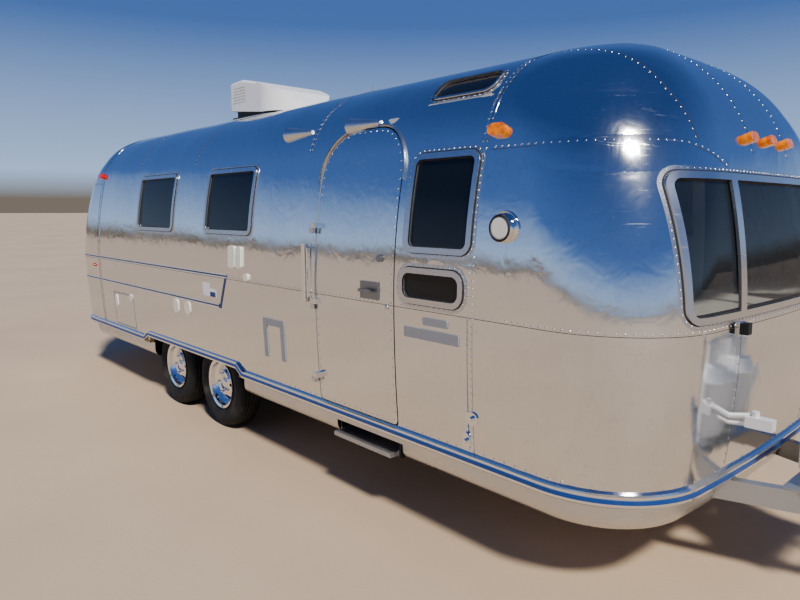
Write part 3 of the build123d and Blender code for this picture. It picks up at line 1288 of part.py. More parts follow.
# White bracket low on the nose: a base on the skin, an arm bent forward and a clamp block at its end.
bracket_x = at(reach_at(END, BRACKET_Z)) - 40
bracket = box(bracket_x - 20, bracket_x + 20, BRACKET_Y - 30, BRACKET_Y + 30, BRACKET_Z - 45, BRACKET_Z + 25)
bracket = bracket + rod((bracket_x, BRACKET_Y, BRACKET_Z), (bracket_x + 120, BRACKET_Y, BRACKET_Z + 26), 13)
bracket = bracket + rod(
    (bracket_x, BRACKET_Y, BRACKET_Z - 25), (bracket_x + 120, BRACKET_Y, BRACKET_Z - 12), 10
)
bracket = bracket + box(
    bracket_x + 105, bracket_x + 215, BRACKET_Y - 24, BRACKET_Y + 24, BRACKET_Z - 22, BRACKET_Z + 26
)
bracket = bracket + rod(
    (bracket_x + 140, BRACKET_Y, BRACKET_Z + 20), (bracket_x + 140, BRACKET_Y, BRACKET_Z + 50), 15
)
parts["nose_bracket"] = bracket - cap_cutter

# Aerial bracket on the roof.
aerial_x, bar_half, bar_z = at(AERIAL_STATION), AERIAL_HALF_WIDTH + 6, ROOF_Z + AERIAL_BAR
mast = rod((aerial_x, -bar_half, bar_z), (aerial_x, bar_half, bar_z), 6)
for y in (-AERIAL_HALF_WIDTH, AERIAL_HALF_WIDTH):
    mast = mast + rod((aerial_x, y, ROOF_Z - 20), (aerial_x, y, ROOF_Z + AERIAL_HEIGHT), AERIAL_POST_RADIUS)
parts["aerial_bracket"] = mast - barrel_cutter


def write_parts():
    """One STEP file for each sub-part."""
    os.makedirs("parts", exist_ok=True)
    for name, shape in parts.items():
        pieces = shape if isinstance(shape, list) else [shape]
        solids = [solid for piece in pieces for solid in piece.solids()]
        export_step(Compound(children=solids), f"parts/{name}.step")


write_parts()
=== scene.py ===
from math import asin, atan2, cos, degrees, pi, radians, sin, sqrt

import bpy
import numpy as np
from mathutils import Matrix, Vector
from mathutils.geometry import delaunay_2d_cdt


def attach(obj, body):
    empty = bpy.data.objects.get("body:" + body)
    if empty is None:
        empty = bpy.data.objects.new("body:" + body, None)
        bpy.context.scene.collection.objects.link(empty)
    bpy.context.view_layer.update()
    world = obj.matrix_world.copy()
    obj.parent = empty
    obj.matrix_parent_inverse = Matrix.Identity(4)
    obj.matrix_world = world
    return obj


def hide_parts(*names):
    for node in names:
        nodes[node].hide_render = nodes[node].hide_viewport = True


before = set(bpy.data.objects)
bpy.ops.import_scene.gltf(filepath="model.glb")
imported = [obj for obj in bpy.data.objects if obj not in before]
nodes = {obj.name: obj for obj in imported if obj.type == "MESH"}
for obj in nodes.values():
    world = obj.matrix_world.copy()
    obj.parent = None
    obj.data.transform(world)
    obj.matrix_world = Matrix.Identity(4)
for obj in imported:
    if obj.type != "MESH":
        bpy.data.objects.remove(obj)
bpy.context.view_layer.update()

# Driving dimensions in metres. A station is a distance from the front seam of the barrel.
FRONT_SEAM_X = 2.190
BARREL_LENGTH = 5.330
BODY_WIDTH = 2.438
WALL_BASE_Z = 0.535
SIDE_WIDEST_Z = 1.300
SIDE_LOWER_RADIUS = 8.200
SIDE_UPPER_ARCS = ((3.170, 14.0), (0.600, 71.0))
END_DEPTH = 0.895
END_DEEPEST_Z = 1.200
END_LOWER_RADIUS = 5.400
END_UPPER_RADIUS = 2.900
END_BULGE_RADIUS = 12.000
CORNER_RADIUS = 0.490
CORNER_GROWS_ABOVE_Z = 1.200
CORNER_GROWTH = 0.13
CORNER_DEPTH_SHARE = 0.93
SKIN_PROUD = 0.0009
CAP_PROUD = 0.0022
DOOR = (-1.310, -0.580, 0.572, 2.205)
DOOR_TOP_RADIUS = 0.270
DOOR_BOTTOM_RADIUS = 0.030
DOOR_GAP = 0.008
WHEEL_OPENING = (-4.105, -2.385, 0.572)

# Windows of the side walls: (rear station, front station, sill z, head z, corner radius, sides)
WINDOWS = (
    (-4.230, -3.390, 1.546, 2.074, 0.075, (-1, 1)),
    (-2.840, -2.070, 1.550, 2.070, 0.075, (-1, 1)),
    (-1.560, -0.900, 1.550, 2.070, 0.075, (1,)),
    (-0.530, -0.033, 1.510, 2.050, 0.085, (-1, 1)),
    (-0.560, -0.068, 1.250, 1.480, 0.095, (-1, 1)),
)
FRAME_BAND = 0.052
VISTA_STATIONS = (-0.560, -0.095)
VISTA_HEIGHT = 0.210
VISTA_ANGLE = 48.0
VISTA_RADIUS = 0.080
VISTA_BAND = 0.030
NOSE = (1.262, 1.925, 0.945, 0.090)
TAIL = (1.450, 1.925, 0.470, 0.090)

# A row over a cap runs from 0 at the curb seam to CAP_SPAN at the street seam.
CAP_SPAN = 4
CAP_STEPS = 120


# Body surfaces: the same arcs as the model, in metres.
def arc_chain(reach, level, base, lower_radius, upper_arcs):
    start = asin((base - level) / lower_radius)
    arcs = [(lower_radius, start, 0.0, reach - lower_radius, level)]
    height, angle = level, 0.0
    for radius, end_degrees in upper_arcs:
        end = radians(end_degrees)
        centre = (reach - radius * cos(angle), height - radius * sin(angle))
        arcs.append((radius, angle, end, *centre))
        reach = centre[0] + radius * cos(end)
        height = centre[1] + radius * sin(end)
        angle = end
    return arcs


def close_crown(arcs):
    radius, _, end, centre_reach, centre_height = arcs[-1]
    reach = centre_reach + radius * cos(end)
    height = centre_height + radius * sin(end)
    crown = reach / cos(end)
    return arcs + [(crown, end, pi / 2, 0.0, height - crown * sin(end))]


def end_chain(roof_z):
    rise = roof_z - END_DEEPEST_Z
    offset = END_DEPTH - END_UPPER_RADIUS
    dome = (END_UPPER_RADIUS**2 - offset**2 - rise**2) / (2 * (END_UPPER_RADIUS - rise))
    turn = atan2(rise - dome, -offset)
    upper = ((END_UPPER_RADIUS, degrees(turn)), (dome, 90.0))
    return arc_chain(END_DEPTH, END_DEEPEST_Z, WALL_BASE_Z, END_LOWER_RADIUS, upper)


SIDE = close_crown(
    arc_chain(BODY_WIDTH / 2, SIDE_WIDEST_Z, WALL_BASE_Z, SIDE_LOWER_RADIUS, SIDE_UPPER_ARCS)
)
ROOF_Z = SIDE[-1][4] + SIDE[-1][0]
END = end_chain(ROOF_Z)
SIDE_LENGTH = sum(arc[0] * (arc[2] - arc[1]) for arc in SIDE)


def reach_at(arcs, height):
    for radius, _, end, centre_reach, centre_height in arcs:
        rise = (height - centre_height) / radius
        if rise <= sin(end) + 1e-9:
            break
    return centre_reach + radius * sqrt(max(0.0, 1 - min(rise, 1.0) ** 2))


def side_at(length):
    """(reach, height, normal angle) at an arc length up the side from its base."""
    left = min(max(length, 0.0), SIDE_LENGTH)
    for radius, start, end, centre_reach, centre_height in SIDE:
        run = radius * (end - start)
        if left <= run + 1e-9:
            break
        left -= run
    angle = start + left / radius
    return centre_reach + radius * cos(angle), centre_height + radius * sin(angle), angle


def length_at(height):
    """Arc length up the side at a height."""
    total = 0.0
    for radius, start, end, _, centre_height in SIDE:
        rise = (height - centre_height) / radius
        if rise <= sin(end) + 1e-9:
            return total + radius * (asin(max(-1.0, min(1.0, rise))) - start)
        total += radius * (end - start)
    return total


def barrel_point(u, v, lift=SKIN_PROUD):
    """Point and normal at station u and signed arc length v, which is negative on the curb side.
    v counts down from the crown, so v = 0 is the crown and v = -SIDE_LENGTH the curb base."""
    side = -1 if v < 0 else 1
    reach, height, angle = side_at(SIDE_LENGTH - abs(v))
    normal = np.array((0.0, side * cos(angle), sin(angle)))
    return np.array((FRONT_SEAM_X + u, side * reach, height)) + normal * lift, normal


def side_v(side, height):
    return side * (SIDE_LENGTH - length_at(height))


def plan_at(height, share):
    """Point of a cap's plan at a height; share runs from 0 at the curb seam to 1 at the street seam."""
    half, depth = reach_at(SIDE, height), reach_at(END, height)
    grown = CORNER_RADIUS + CORNER_GROWTH * max(0.0, height - CORNER_GROWS_ABOVE_Z)
    corner = min(grown, CORNER_DEPTH_SHARE * min(half, depth))
    centre_x = depth - END_BULGE_RADIUS + sqrt((END_BULGE_RADIUS - corner) ** 2 - (half - corner) ** 2)
    aim = atan2(half - corner, centre_x - depth + END_BULGE_RADIUS)
    straight, turn, bulge = centre_x, corner * (pi / 2 - aim), END_BULGE_RADIUS * aim
    side = -1 if share < 0.5 else 1
    left = (share if share < 0.5 else 1 - share) * 2 * (straight + turn + bulge)
    if left <= straight:
        return left, side * half
    left -= straight
    if left <= turn:
        angle = pi / 2 - left / corner
        return centre_x + corner * cos(angle), side * (half - corner + corner * sin(angle))
    angle = aim - (left - turn) / END_BULGE_RADIUS
    return depth - END_BULGE_RADIUS + END_BULGE_RADIUS * cos(angle), side * END_BULGE_RADIUS * sin(angle)


def cap_raw(share, length, rear):
    _, height, _ = side_at(length)
    x, y = plan_at(height, share)
    station = FRONT_SEAM_X + x if not rear else FRONT_SEAM_X - BARREL_LENGTH - x
    return np.array((station, y, height))


def cap_point(share, length, rear=False, lift=CAP_PROUD):
    """Point and normal of an end cap at a plan share and an arc length up the side."""
    step = 1e-4
    share_low, share_high = max(0.0, share - step), min(1.0, share + step)
    low, high = max(0.0, length - step), min(SIDE_LENGTH - 0.002, length + step)
    along = cap_raw(share_high, length, rear) - cap_raw(share_low, length, rear)
    up = cap_raw(share, high, rear) - cap_raw(share, low, rear)
    normal = np.cross(along, up) * (-1 if rear else 1)
    normal = normal / max(1e-12, float(np.linalg.norm(normal)))
    return cap_raw(share, length, rear) + normal * lift, normal


def share_for_y(y, height):
    """Plan share at a height where the cap is at y, on its end face."""
    low, high = 0.0, 1.0
    for _ in range(40):
        middle = (low + high) / 2
        if plan_at(height, middle)[1] < y:
            low = middle
        else:
            high = middle
    return (low + high) / 2


# Outlines in a side or end elevation.
LONGEST_STEP = 0.04


def rounded_outline(low_x, high_x, low_z, high_z, radius, steps=8, top_radius=None):
    """Closed outline of a rounded rectangle, with straight sides split for a close fit."""
    upper = top_radius or radius
    corners = (
        (high_x - radius, low_z + radius, -90, radius),
        (high_x - upper, high_z - upper, 0, upper),
        (low_x + upper, high_z - upper, 90, upper),
        (low_x + radius, low_z + radius, 180, radius),
    )
    points = []
    for x, z, start, r in corners:
        for k in range(steps + 1):
            angle = radians(start + 90 * k / steps)
            points.append((x + r * cos(angle), z + r * sin(angle)))
    return split_long(points, LONGEST_STEP)


def split_long(points, longest):
    out = []
    for k, a in enumerate(points):
        b = points[(k + 1) % len(points)]
        gap = sqrt((a[0] - b[0]) ** 2 + (a[1] - b[1]) ** 2)
        count = max(1, int(gap / longest))
        out += [(a[0] + (b[0] - a[0]) * j / count, a[1] + (b[1] - a[1]) * j / count) for j in range(count)]
    return out


def grow(row, by):
    low_x, high_x, low_z, high_z, radius = row[:5]
    return low_x - by, high_x + by, low_z - by, high_z + by, max(0.003, radius + by)


def inside(point, outline):
    x, y = point
    hit = False
    for k, (ax, ay) in enumerate(outline):
        bx, by = outline[(k + 1) % len(outline)]
        if (ay > y) != (by > y) and x < (bx - ax) * (y - ay) / (by - ay) + ax:
            hit = not hit
    return hit


def new_object(name, verts, faces, material, body="trailer", normals=None, smooth=True):
    mesh = bpy.data.meshes.new(name)
    mesh.from_pydata([tuple(v) for v in verts], [], [tuple(f) for f in faces])
    if smooth:
        mesh.polygons.foreach_set("use_smooth", [True] * len(mesh.polygons))
    if normals is not None:
        mesh.normals_split_custom_set_from_vertices([tuple(n) for n in normals])
    mesh.materials.append(material)
    obj = bpy.data.objects.new(name, mesh)
    bpy.context.scene.collection.objects.link(obj)
    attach(obj, body)
    return obj


def sheet(name, us, vs, place, holes, material, body="trailer", border=None):
    """Skin over a grid of two parameters with outlines cut out, its normals taken from the surface."""
    points, edges = [], []
    near = 0.35 * min(us[1] - us[0], abs(vs[1] - vs[0]))
    rings = list(holes) + ([border] if border else [])
    for ring in rings:
        start = len(points)
        points += ring
        edges += [(start + k, start + (k + 1) % len(ring)) for k in range(len(ring))]
    fixed = np.array(points) if points else np.zeros((0, 2))
    for u in us:
        for v in vs:
            if len(fixed) and np.min(np.hypot(fixed[:, 0] - u, fixed[:, 1] - v)) < near:
                continue
            if border and not inside((u, v), border):
                continue
            if any(inside((u, v), ring) for ring in holes):
                continue
            points.append((u, v))
    made = delaunay_2d_cdt([Vector(p) for p in points], edges, [], 0, 1e-6)
    flat, triangles = made[0], made[2]
    kept = []
    for tri in triangles:
        centre = (sum(flat[i][0] for i in tri) / 3, sum(flat[i][1] for i in tri) / 3)
        if any(inside(centre, ring) for ring in holes) or (border and not inside(centre, border)):
            continue
        kept.append(tuple(tri))
    placed = [place(p[0], p[1]) for p in flat]
    verts, normals = [p for p, _ in placed], [n for _, n in placed]
    faces = []
    for tri in kept:
        a, b, c = (verts[i] for i in tri)
        turn = np.dot(np.cross(b - a, c - a), normals[tri[0]])
        faces.append(tri if turn > 0 else tri[::-1])
    return new_object(name, verts, faces, material, body, normals)


# Materials.
DUST = (0.35, 0.31, 0.26)


def principled(name, colour, rough, metal=0.0, coat=0.0):
    material = bpy.data.materials.new(name)
    material.use_nodes = True
    shader = material.node_tree.nodes["Principled BSDF"]
    shader.inputs["Base Color"].default_value = (*colour, 1)
    shader.inputs["Roughness"].default_value = rough
    shader.inputs["Metallic"].default_value = metal
    shader.inputs["Coat Weight"].default_value = coat
    return material, material.node_tree, shader


def position(tree, scale=(1, 1, 1)):
    coords = tree.nodes.new("ShaderNodeTexCoord")
    mapping = tree.nodes.new("ShaderNodeMapping")
    mapping.inputs["Scale"].default_value = scale
    tree.links.new(coords.outputs["Object"], mapping.inputs["Vector"])
    return mapping.outputs["Vector"]


def noise(tree, vector, scale, detail=4.0, rough=0.55, distortion=0.0):
    node = tree.nodes.new("ShaderNodeTexNoise")
    node.inputs["Scale"].default_value = scale
    node.inputs["Detail"].default_value = detail
    node.inputs["Roughness"].default_value = rough
    node.inputs["Distortion"].default_value = distortion
    tree.links.new(vector, node.inputs["Vector"])
    return node.outputs["Fac"]


def ramp(tree, value, low, high, out_low, out_high):
    node = tree.nodes.new("ShaderNodeMapRange")
    node.inputs["From Min"].default_value = low
    node.inputs["From Max"].default_value = high
    node.inputs["To Min"].default_value = out_low
    node.inputs["To Max"].default_value = out_high
    tree.links.new(value, node.inputs["Value"])
    return node.outputs["Result"]


def mix_colour(tree, factor, first, second):
    node = tree.nodes.new("ShaderNodeMix")
    node.data_type = "RGBA"
    tree.links.new(factor, node.inputs["Factor"])
    for socket, value in ((node.inputs[6], first), (node.inputs[7], second)):
        if isinstance(value, tuple):
            socket.default_value = (*value, 1)
        else:
            tree.links.new(value, socket)
    return node.outputs[2]


def bump(tree, shader, height, strength, distance):
    node = tree.nodes.new("ShaderNodeBump")
    node.inputs["Strength"].default_value = strength
    node.inputs["Distance"].default_value = distance
    tree.links.new(height, node.inputs["Height"])
    previous = shader.inputs["Normal"].links
    if previous:
        tree.links.new(previous[0].from_socket, node.inputs["Normal"])
    tree.links.new(node.outputs["Normal"], shader.inputs["Normal"])


def aluminium(name, colour=(0.80, 0.81, 0.82), rough=0.06, haze=0.16, wave=0.0016, swirl=True):
    """Polished sheet: panels that wave a little, haze in drifts, and streaks left by polishing."""
    material, tree, shader = principled(name, colour, rough, 1.0)
    place = position(tree)
    tall = position(tree, (1.0, 1.0, 0.45))
    drift = noise(tree, tall, 2.3, 6.0, 0.62, 0.6)
    scuffs = noise(tree, position(tree, (3.0, 3.0, 1.2)), 9.0, 8.0, 0.7, 1.5)
    spots = noise(tree, place, 46.0, 2.0)
    streaks = noise(tree, position(tree, (1.0, 1.0, 9.0)), 3.2, 7.0, 0.72, 2.2)
    hazy = ramp(tree, drift, 0.36, 0.72, rough, haze)
    if swirl:
        lift = ramp(tree, streaks, 0.60, 0.74, 0.0, 0.22)
        total = tree.nodes.new("ShaderNodeMath")
        total.operation = "ADD"
        tree.links.new(hazy, total.inputs[0])
        tree.links.new(lift, total.inputs[1])
        hazy = total.outputs[0]
    tree.links.new(hazy, shader.inputs["Roughness"])
    worn = mix_colour(tree, ramp(tree, scuffs, 0.55, 0.80, 0.0, 0.5), colour, (0.62, 0.63, 0.65))
    tint = mix_colour(tree, ramp(tree, spots, 0.62, 0.80, 0.0, 0.35), worn, (0.52, 0.52, 0.53))
    tree.links.new(tint, shader.inputs["Base Color"])
    bump(tree, shader, noise(tree, tall, 1.7, 1.5, 0.4), 1.0, wave * 8)
    if swirl:
        bump(tree, shader, noise(tree, place, 7.0, 2.0, 0.5, 0.8), 1.0, wave)
        bump(tree, shader, noise(tree, place, 160.0, 3.0, 0.7, 3.0), 0.12, 0.0004)
    return material


def simple(name, colour, rough, metal=0.0, coat=0.0, grime=0.35, grain=60.0):
    """Plain finish that varies a little, with light dust in its grain."""
    material, tree, shader = principled(name, colour, rough, metal, coat)
    place = position(tree)
    patches = noise(tree, place, 5.0, 5.0, 0.6)
    dirty = mix_colour(tree, ramp(tree, patches, 0.5, 0.8, 0.0, grime), colour, DUST)
    tree.links.new(dirty, shader.inputs["Base Color"])
    gloss = ramp(tree, patches, 0.3, 0.7, rough * 0.85, min(1.0, rough * 1.3))
    tree.links.new(gloss, shader.inputs["Roughness"])
    bump(tree, shader, noise(tree, place, grain, 3.0), 0.15, 0.0006)
    return material


def glass(name, tint, solid, index):
    """Flat window glass: lets light through straight, with smudges in its gloss."""
    material, tree, shader = principled(name, tint, 0.02)
    shader.inputs["Alpha"].default_value = solid
    shader.inputs["IOR"].default_value = index
    smudges = noise(tree, position(tree), 6.0, 5.0, 0.6)
    tree.links.new(ramp(tree, smudges, 0.4, 0.8, 0.02, 0.07), shader.inputs["Roughness"])
    return material


def lens(name, colour, deep):
    """Moulded lamp lens with a glossy face and darker prisms inside."""
    material, tree, shader = principled(name, colour, 0.16, coat=1.0)
    shader.inputs["Coat Roughness"].default_value = 0.04
    shader.inputs["Transmission Weight"].default_value = 0.15
    shader.inputs["Emission Color"].default_value = (*colour, 1)
    shader.inputs["Emission Strength"].default_value = 0.12
    prisms = noise(tree, position(tree), 38.0, 2.0, 0.5)
    shade = mix_colour(tree, ramp(tree, prisms, 0.45, 0.62, 0.0, 1.0), colour, deep)
    tree.links.new(shade, shader.inputs["Base Color"])
    bump(tree, shader, prisms, 0.3, 0.002)
    return material


def banded(name, colour, level, above):
    """Finish that changes at a height of the object, as where a moulding meets its flange."""
    material, tree, shader = principled(name, colour, 0.4)
    split = tree.nodes.new("ShaderNodeSeparateXYZ")
    tree.links.new(position(tree), split.inputs["Vector"])
    share = ramp(tree, split.outputs["Z"], level - 0.002, level + 0.002, 0.0, 1.0)
    patches = noise(tree, position(tree), 5.0, 5.0, 0.6)
    low = mix_colour(tree, ramp(tree, patches, 0.45, 0.8, 0.0, 0.4), colour, (0.40, 0.38, 0.34))
    tree.links.new(mix_colour(tree, share, low, above), shader.inputs["Base Color"])
    bump(tree, shader, noise(tree, position(tree), 60.0, 3.0), 0.15, 0.0006)
    return material


body_metal = aluminium("polished_body")
door_metal = aluminium("polished_door", rough=0.07)
dull_metal = aluminium("brushed_trim", (0.66, 0.67, 0.68), 0.22, 0.38, 0.0006)
bright_metal = aluminium("chrome_trim", (0.86, 0.87, 0.88), 0.05, 0.14, 0.0004, False)
rivet_metal = aluminium("rivet_metal", (0.74, 0.75, 0.76), 0.18, 0.35, 0.0, False)
belly_metal = aluminium("belly_metal", (0.70, 0.70, 0.69), 0.24, 0.42, 0.0016)
frame_steel = simple("galvanised_steel", (0.52, 0.53, 0.53), 0.42, 0.85)
dark_steel = simple("dark_steel", (0.055, 0.055, 0.055), 0.55, 0.3)
rubber = simple("tyre_rubber", (0.022, 0.022, 0.023), 0.72, grime=0.25)
seal_rubber = simple("seal_rubber", (0.03, 0.03, 0.032), 0.6, grime=0.1)
white_plastic = simple("white_plastic", (0.90, 0.90, 0.88), 0.38, grime=0.12)
grey_plastic = simple("grey_plastic", (0.34, 0.35, 0.36), 0.5)
blue_vinyl = simple("blue_insert", (0.018, 0.085, 0.30), 0.35, grime=0.15)
white_paint = simple("white_paint", (0.82, 0.82, 0.80), 0.3, coat=0.4, grime=0.15)
plywood = simple("floor_board", (0.46, 0.34, 0.22), 0.6, grain=25.0)
dark_glass = glass("tinted_glass", (0.012, 0.015, 0.019), 0.86, 1.55)
nose_glass = glass("nose_glass", (0.05, 0.065, 0.08), 0.24, 2.6)
amber_lens = lens("amber_lens", (1.0, 0.33, 0.015), (0.75, 0.12, 0.005))
red_lens = lens("red_lens", (0.80, 0.03, 0.015), (0.45, 0.008, 0.005))
lining = simple("interior_lining", (0.40, 0.41, 0.42), 0.6, grime=0.1, grain=90.0)
black_plastic = simple("black_plastic", (0.018, 0.018, 0.019), 0.45, grime=0.2)
pewter = simple("pewter", (0.30, 0.31, 0.32), 0.34, 0.9, grime=0.2)
scoop_metal = aluminium("scoop_metal", (0.70, 0.71, 0.72), 0.26, 0.42, 0.0006, False)
curb_finish = banded("aircon_curb", (0.66, 0.66, 0.62), ROOF_Z + 0.002, (0.012, 0.012, 0.013))
frosted = simple("frosted_lens", (0.86, 0.85, 0.80), 0.25, coat=0.3, grime=0.1)
cream_plastic = simple("cream_plastic", (0.88, 0.86, 0.74), 0.42, grime=0.15)
stripe_blue = simple("stripe_blue", (0.016, 0.055, 0.16), 0.3, grime=0.12)
stripe_pale = simple("stripe_pale", (0.74, 0.75, 0.74), 0.3, grime=0.15)
# The nose shelf's own pale cream, lifted brighter as painted light for the sun that falls on it.
sunlit_shelf_cream = simple("sunlit_shelf_cream", (0.95, 0.94, 0.84), 0.5, grime=0.1)
# Painted shadow: near-black colour for the thin strips that stand for the shadow each lapped panel edge
# casts.
seam_shade = simple("seam_shadow", (0.055, 0.054, 0.052), 0.55, grime=0.1)
sticker_white = simple("sticker_white", (0.90, 0.91, 0.92), 0.4, grime=0.08)
sticker_blue = simple("sticker_blue", (0.01, 0.05, 0.22), 0.35, grime=0.1)

FINISH = {
    "wall_curb": lining,
    "wall_street": lining,
    "roof": lining,
    "cap_front": body_metal,
    "cap_rear": body_metal,
    "door_panel": door_metal,
    "window_frames": dull_metal,
    "nose_frame": dull_metal,
    "tail_frame": dull_metal,
    "window_panes": dark_glass,
    "nose_panes": nose_glass,
    "tail_pane": dark_glass,
    "rub_rail": bright_metal,
    "rub_insert": blue_vinyl,
    "floor_deck": plywood,
    "wheel_wells": dark_steel,
    "belly_pan": belly_metal,
    "chassis_rails": dark_steel,
    "cross_members": dark_steel,
    "tongue_frame": frame_steel,
    "coupler": frame_steel,
    "jack_tube": frame_steel,
    "jack_leg": frame_steel,
    "bottle_tray": frame_steel,
    "gas_bottles": white_paint,
    "axle_front": dark_steel,
    "axle_rear": dark_steel,
    "door_latch": pewter,
    "door_hinges": dull_metal,
    "grab_handle": bright_metal,
    "step_slides": dark_steel,
    "entry_step": frame_steel,
    "aircon_base": curb_finish,
    "aircon_cover": white_plastic,
    "vent_base_front": dull_metal,
    "vent_base_rear": dull_metal,
    "vent_lid_front": white_plastic,
    "vent_lid_rear": white_plastic,
    "rear_bumper": bright_metal,
    "bumper_lid": bright_metal,
    "lamps_amber": amber_lens,
    "lamps_red": red_lens,
    "porch_lamp": frosted,
    "service_plates": grey_plastic,
    "roof_scoops": scoop_metal,
    "aerial_bracket": frame_steel,
    "door_gutter": dull_metal,
    "white_covers": cream_plastic,
    "side_inlets": bright_metal,
    "trim_stripes": stripe_blue,
    "nose_shelf": sunlit_shelf_cream,
    "nose_bracket": white_paint,
}
for name, obj in nodes.items():
    finish = FINISH.get(name)
    if name.startswith("rim_"):
        finish = bright_metal
    if name.startswith("tyre_"):
        finish = rubber
    obj.data.materials.clear()
    obj.data.materials.append(finish)

# Skins over the shell.
PAST_BASE = 0.05
BARREL_GRID = (60, 90)
DOOR_GRID = (14, 34)
CAP_GRID = (110, 62)
CROWN_GAP = 0.02
door_row = (DOOR[0], DOOR[1], DOOR[2], DOOR[3], DOOR_BOTTOM_RADIUS)


def on_side(side, outline):
    return [(x, side_v(side, z)) for x, z in outline]


def vista_outline(side, by):
    middle = side * (SIDE_LENGTH - length_at(SIDE[2][4] + SIDE[2][0] * sin(radians(VISTA_ANGLE))))
    row = (VISTA_STATIONS[0], VISTA_STATIONS[1], -VISTA_HEIGHT / 2, VISTA_HEIGHT / 2, VISTA_RADIUS)
    return [(x, middle + v) for x, v in rounded_outline(*grow(row, by))]


def door_ring(shrink):
    row = grow(door_row, -shrink)
    return rounded_outline(*row[:4], DOOR_BOTTOM_RADIUS, 10, DOOR_TOP_RADIUS - shrink)


barrel_holes = [on_side(-1, door_ring(0.0))]
for side in (-1, 1):
    barrel_holes += [
        on_side(side, rounded_outline(*grow(row, -FRAME_BAND))) for row in WINDOWS if side in row[5]
    ]
    barrel_holes.append(vista_outline(side, -VISTA_BAND))
    rear_x, front_x, top_z = WHEEL_OPENING
    top_v = side_v(side, top_z)
    past = side * SIDE_LENGTH + side * PAST_BASE
    barrel_holes.append(
        split_long([(rear_x, past), (front_x, past), (front_x, top_v), (rear_x, top_v)], LONGEST_STEP)
    )
us = np.linspace(-BARREL_LENGTH, 0, BARREL_GRID[0])
vs = np.linspace(-SIDE_LENGTH, SIDE_LENGTH, BARREL_GRID[1])
sheet("skin_barrel", us, vs, barrel_point, barrel_holes, body_metal)
door_us = np.linspace(DOOR[0], DOOR[1], DOOR_GRID[0])
door_vs = np.linspace(side_v(-1, DOOR[2]), side_v(-1, DOOR[3]), DOOR_GRID[1])
sheet(
    "skin_door", door_us, door_vs, barrel_point, [], door_metal, "door", on_side(-1, door_ring(DOOR_GAP))
)


def end_outline(row, by):
    sill, head, half, corner = row
    outline = rounded_outline(-half - by, half + by, sill - by, head + by, corner + by)
    return [(share_for_y(y, z) * CAP_SPAN, length_at(z)) for y, z in outline]


for rear, row in ((False, NOSE), (True, TAIL)):
    name = "skin_cap_rear" if rear else "skin_cap_front"
    sheet(
        name,
        np.linspace(0, CAP_SPAN, CAP_GRID[0]),
        np.linspace(0, SIDE_LENGTH - CROWN_GAP, CAP_GRID[1]),
        lambda u, v, rear=rear: cap_point(min(max(u / CAP_SPAN, 0.0), 1.0), v, rear),
        [end_outline(row, -FRAME_BAND)],
        body_metal,
    )


# Small work on the skin: chains of (point, normal) pairs carry rivets, lap strips and gaskets.
CHAIN_STEP = 0.02
RIVET_PITCH = 0.036
RIVET_RADIUS = 0.0052
RIVET_HEIGHT = 0.0026
FLANGE_PROUD = 0.0035
FLANGE_PITCH = 0.034
SASH_BAND = 0.030
FRONT_LAP = -0.050
REAR_LAP = 0.050 - BARREL_LENGTH
BELT_Z = 1.243
CAP_BELT_Z = 2.018
BELT_RISE = 0.011
BASE_ROW_Z = 0.590
BASE_PITCH = 0.060
LAP_ROW = 0.012
LAP_HALF = 0.017
JOINT_STATIONS = (-1.480, -3.115, -4.330)
JOINT_ROW = 0.010
JOINT_LOW_Z = 2.10
SEAM_LOW_Z = 2.06
WALL_SEAM_TOP_Z = 1.22
WALL_SEAM_RISE = 0.03
OPENING_MARGIN = 0.10


def barrel_chain(rows, lift=SKIN_PROUD):
    """Chain through rows of (station, arc length) on the barrel."""
    return sampled(lambda u, v: barrel_point(u, v, lift), rows)


def cap_chain(rows, rear=False, lift=CAP_PROUD):
    """Chain through rows of (plan share times CAP_SPAN, arc length) on an end cap."""
    return sampled(lambda u, v: cap_point(min(max(u / CAP_SPAN, 0.0), 1.0), v, rear, lift), rows)


def sampled(place, rows):
    out = []
    for (u0, v0), (u1, v1) in zip(rows, rows[1:]):
        count = max(1, int(sqrt((u1 - u0) ** 2 + (v1 - v0) ** 2) / CHAIN_STEP))
        for k in range(count):
            out.append(place(u0 + (u1 - u0) * k / count, v0 + (v1 - v0) * k / count))
    out.append(place(*rows[-1]))
    return out


def closed(rows):
    return rows + rows[:1]


def spaced(chain, pitch):
    """Points and normals at an even pitch along a chain."""
    points = np.array([p for p, _ in chain])
    normals = np.array([n for _, n in chain])
    runs = np.linalg.norm(np.diff(points, axis=0), axis=1)
    total = np.concatenate([[0.0], np.cumsum(runs)])
    count = max(1, int(total[-1] / pitch))
    stops = (np.arange(count) + 0.5) * total[-1] / count
    where = np.stack([np.interp(stops, total, points[:, k]) for k in range(3)], axis=1)
    facing = np.stack([np.interp(stops, total, normals[:, k]) for k in range(3)], axis=1)
    return where, facing / np.linalg.norm(facing, axis=1)[:, None]


def dome_field(name, spots, material, radius=RIVET_RADIUS, height=RIVET_HEIGHT, body="trailer", sides=7):
    """One mesh of low domes, one on each (point, normal) spot."""
    verts, faces = [], []
    rings = ((1.0, 0.0), (0.80, 0.62), (0.40, 0.92))
    for point, normal in spots:
        across = np.cross(normal, (0.0, 0.0, 1.0))
        if np.linalg.norm(across) < 0.1:
            across = np.cross(normal, (1.0, 0.0, 0.0))
        across = across / np.linalg.norm(across)
        along = np.cross(normal, across)
        start = len(verts)
        for share, rise in rings:
            for k in range(sides):
                angle = 2 * pi * k / sides
                flat = across * cos(angle) + along * sin(angle)
                verts.append(point + flat * radius * share + normal * height * rise)
        verts.append(point + normal * height)
        top = len(verts) - 1
        for ring in range(len(rings) - 1):
            low, high = start + ring * sides, start + (ring + 1) * sides
            for k in range(sides):
                faces.append((low + k, high + k, high + (k + 1) % sides, low + (k + 1) % sides))
        last = start + (len(rings) - 1) * sides
        faces += [(last + k, top, last + (k + 1) % sides) for k in range(sides)]
    return new_object(name, verts, faces, material, body)


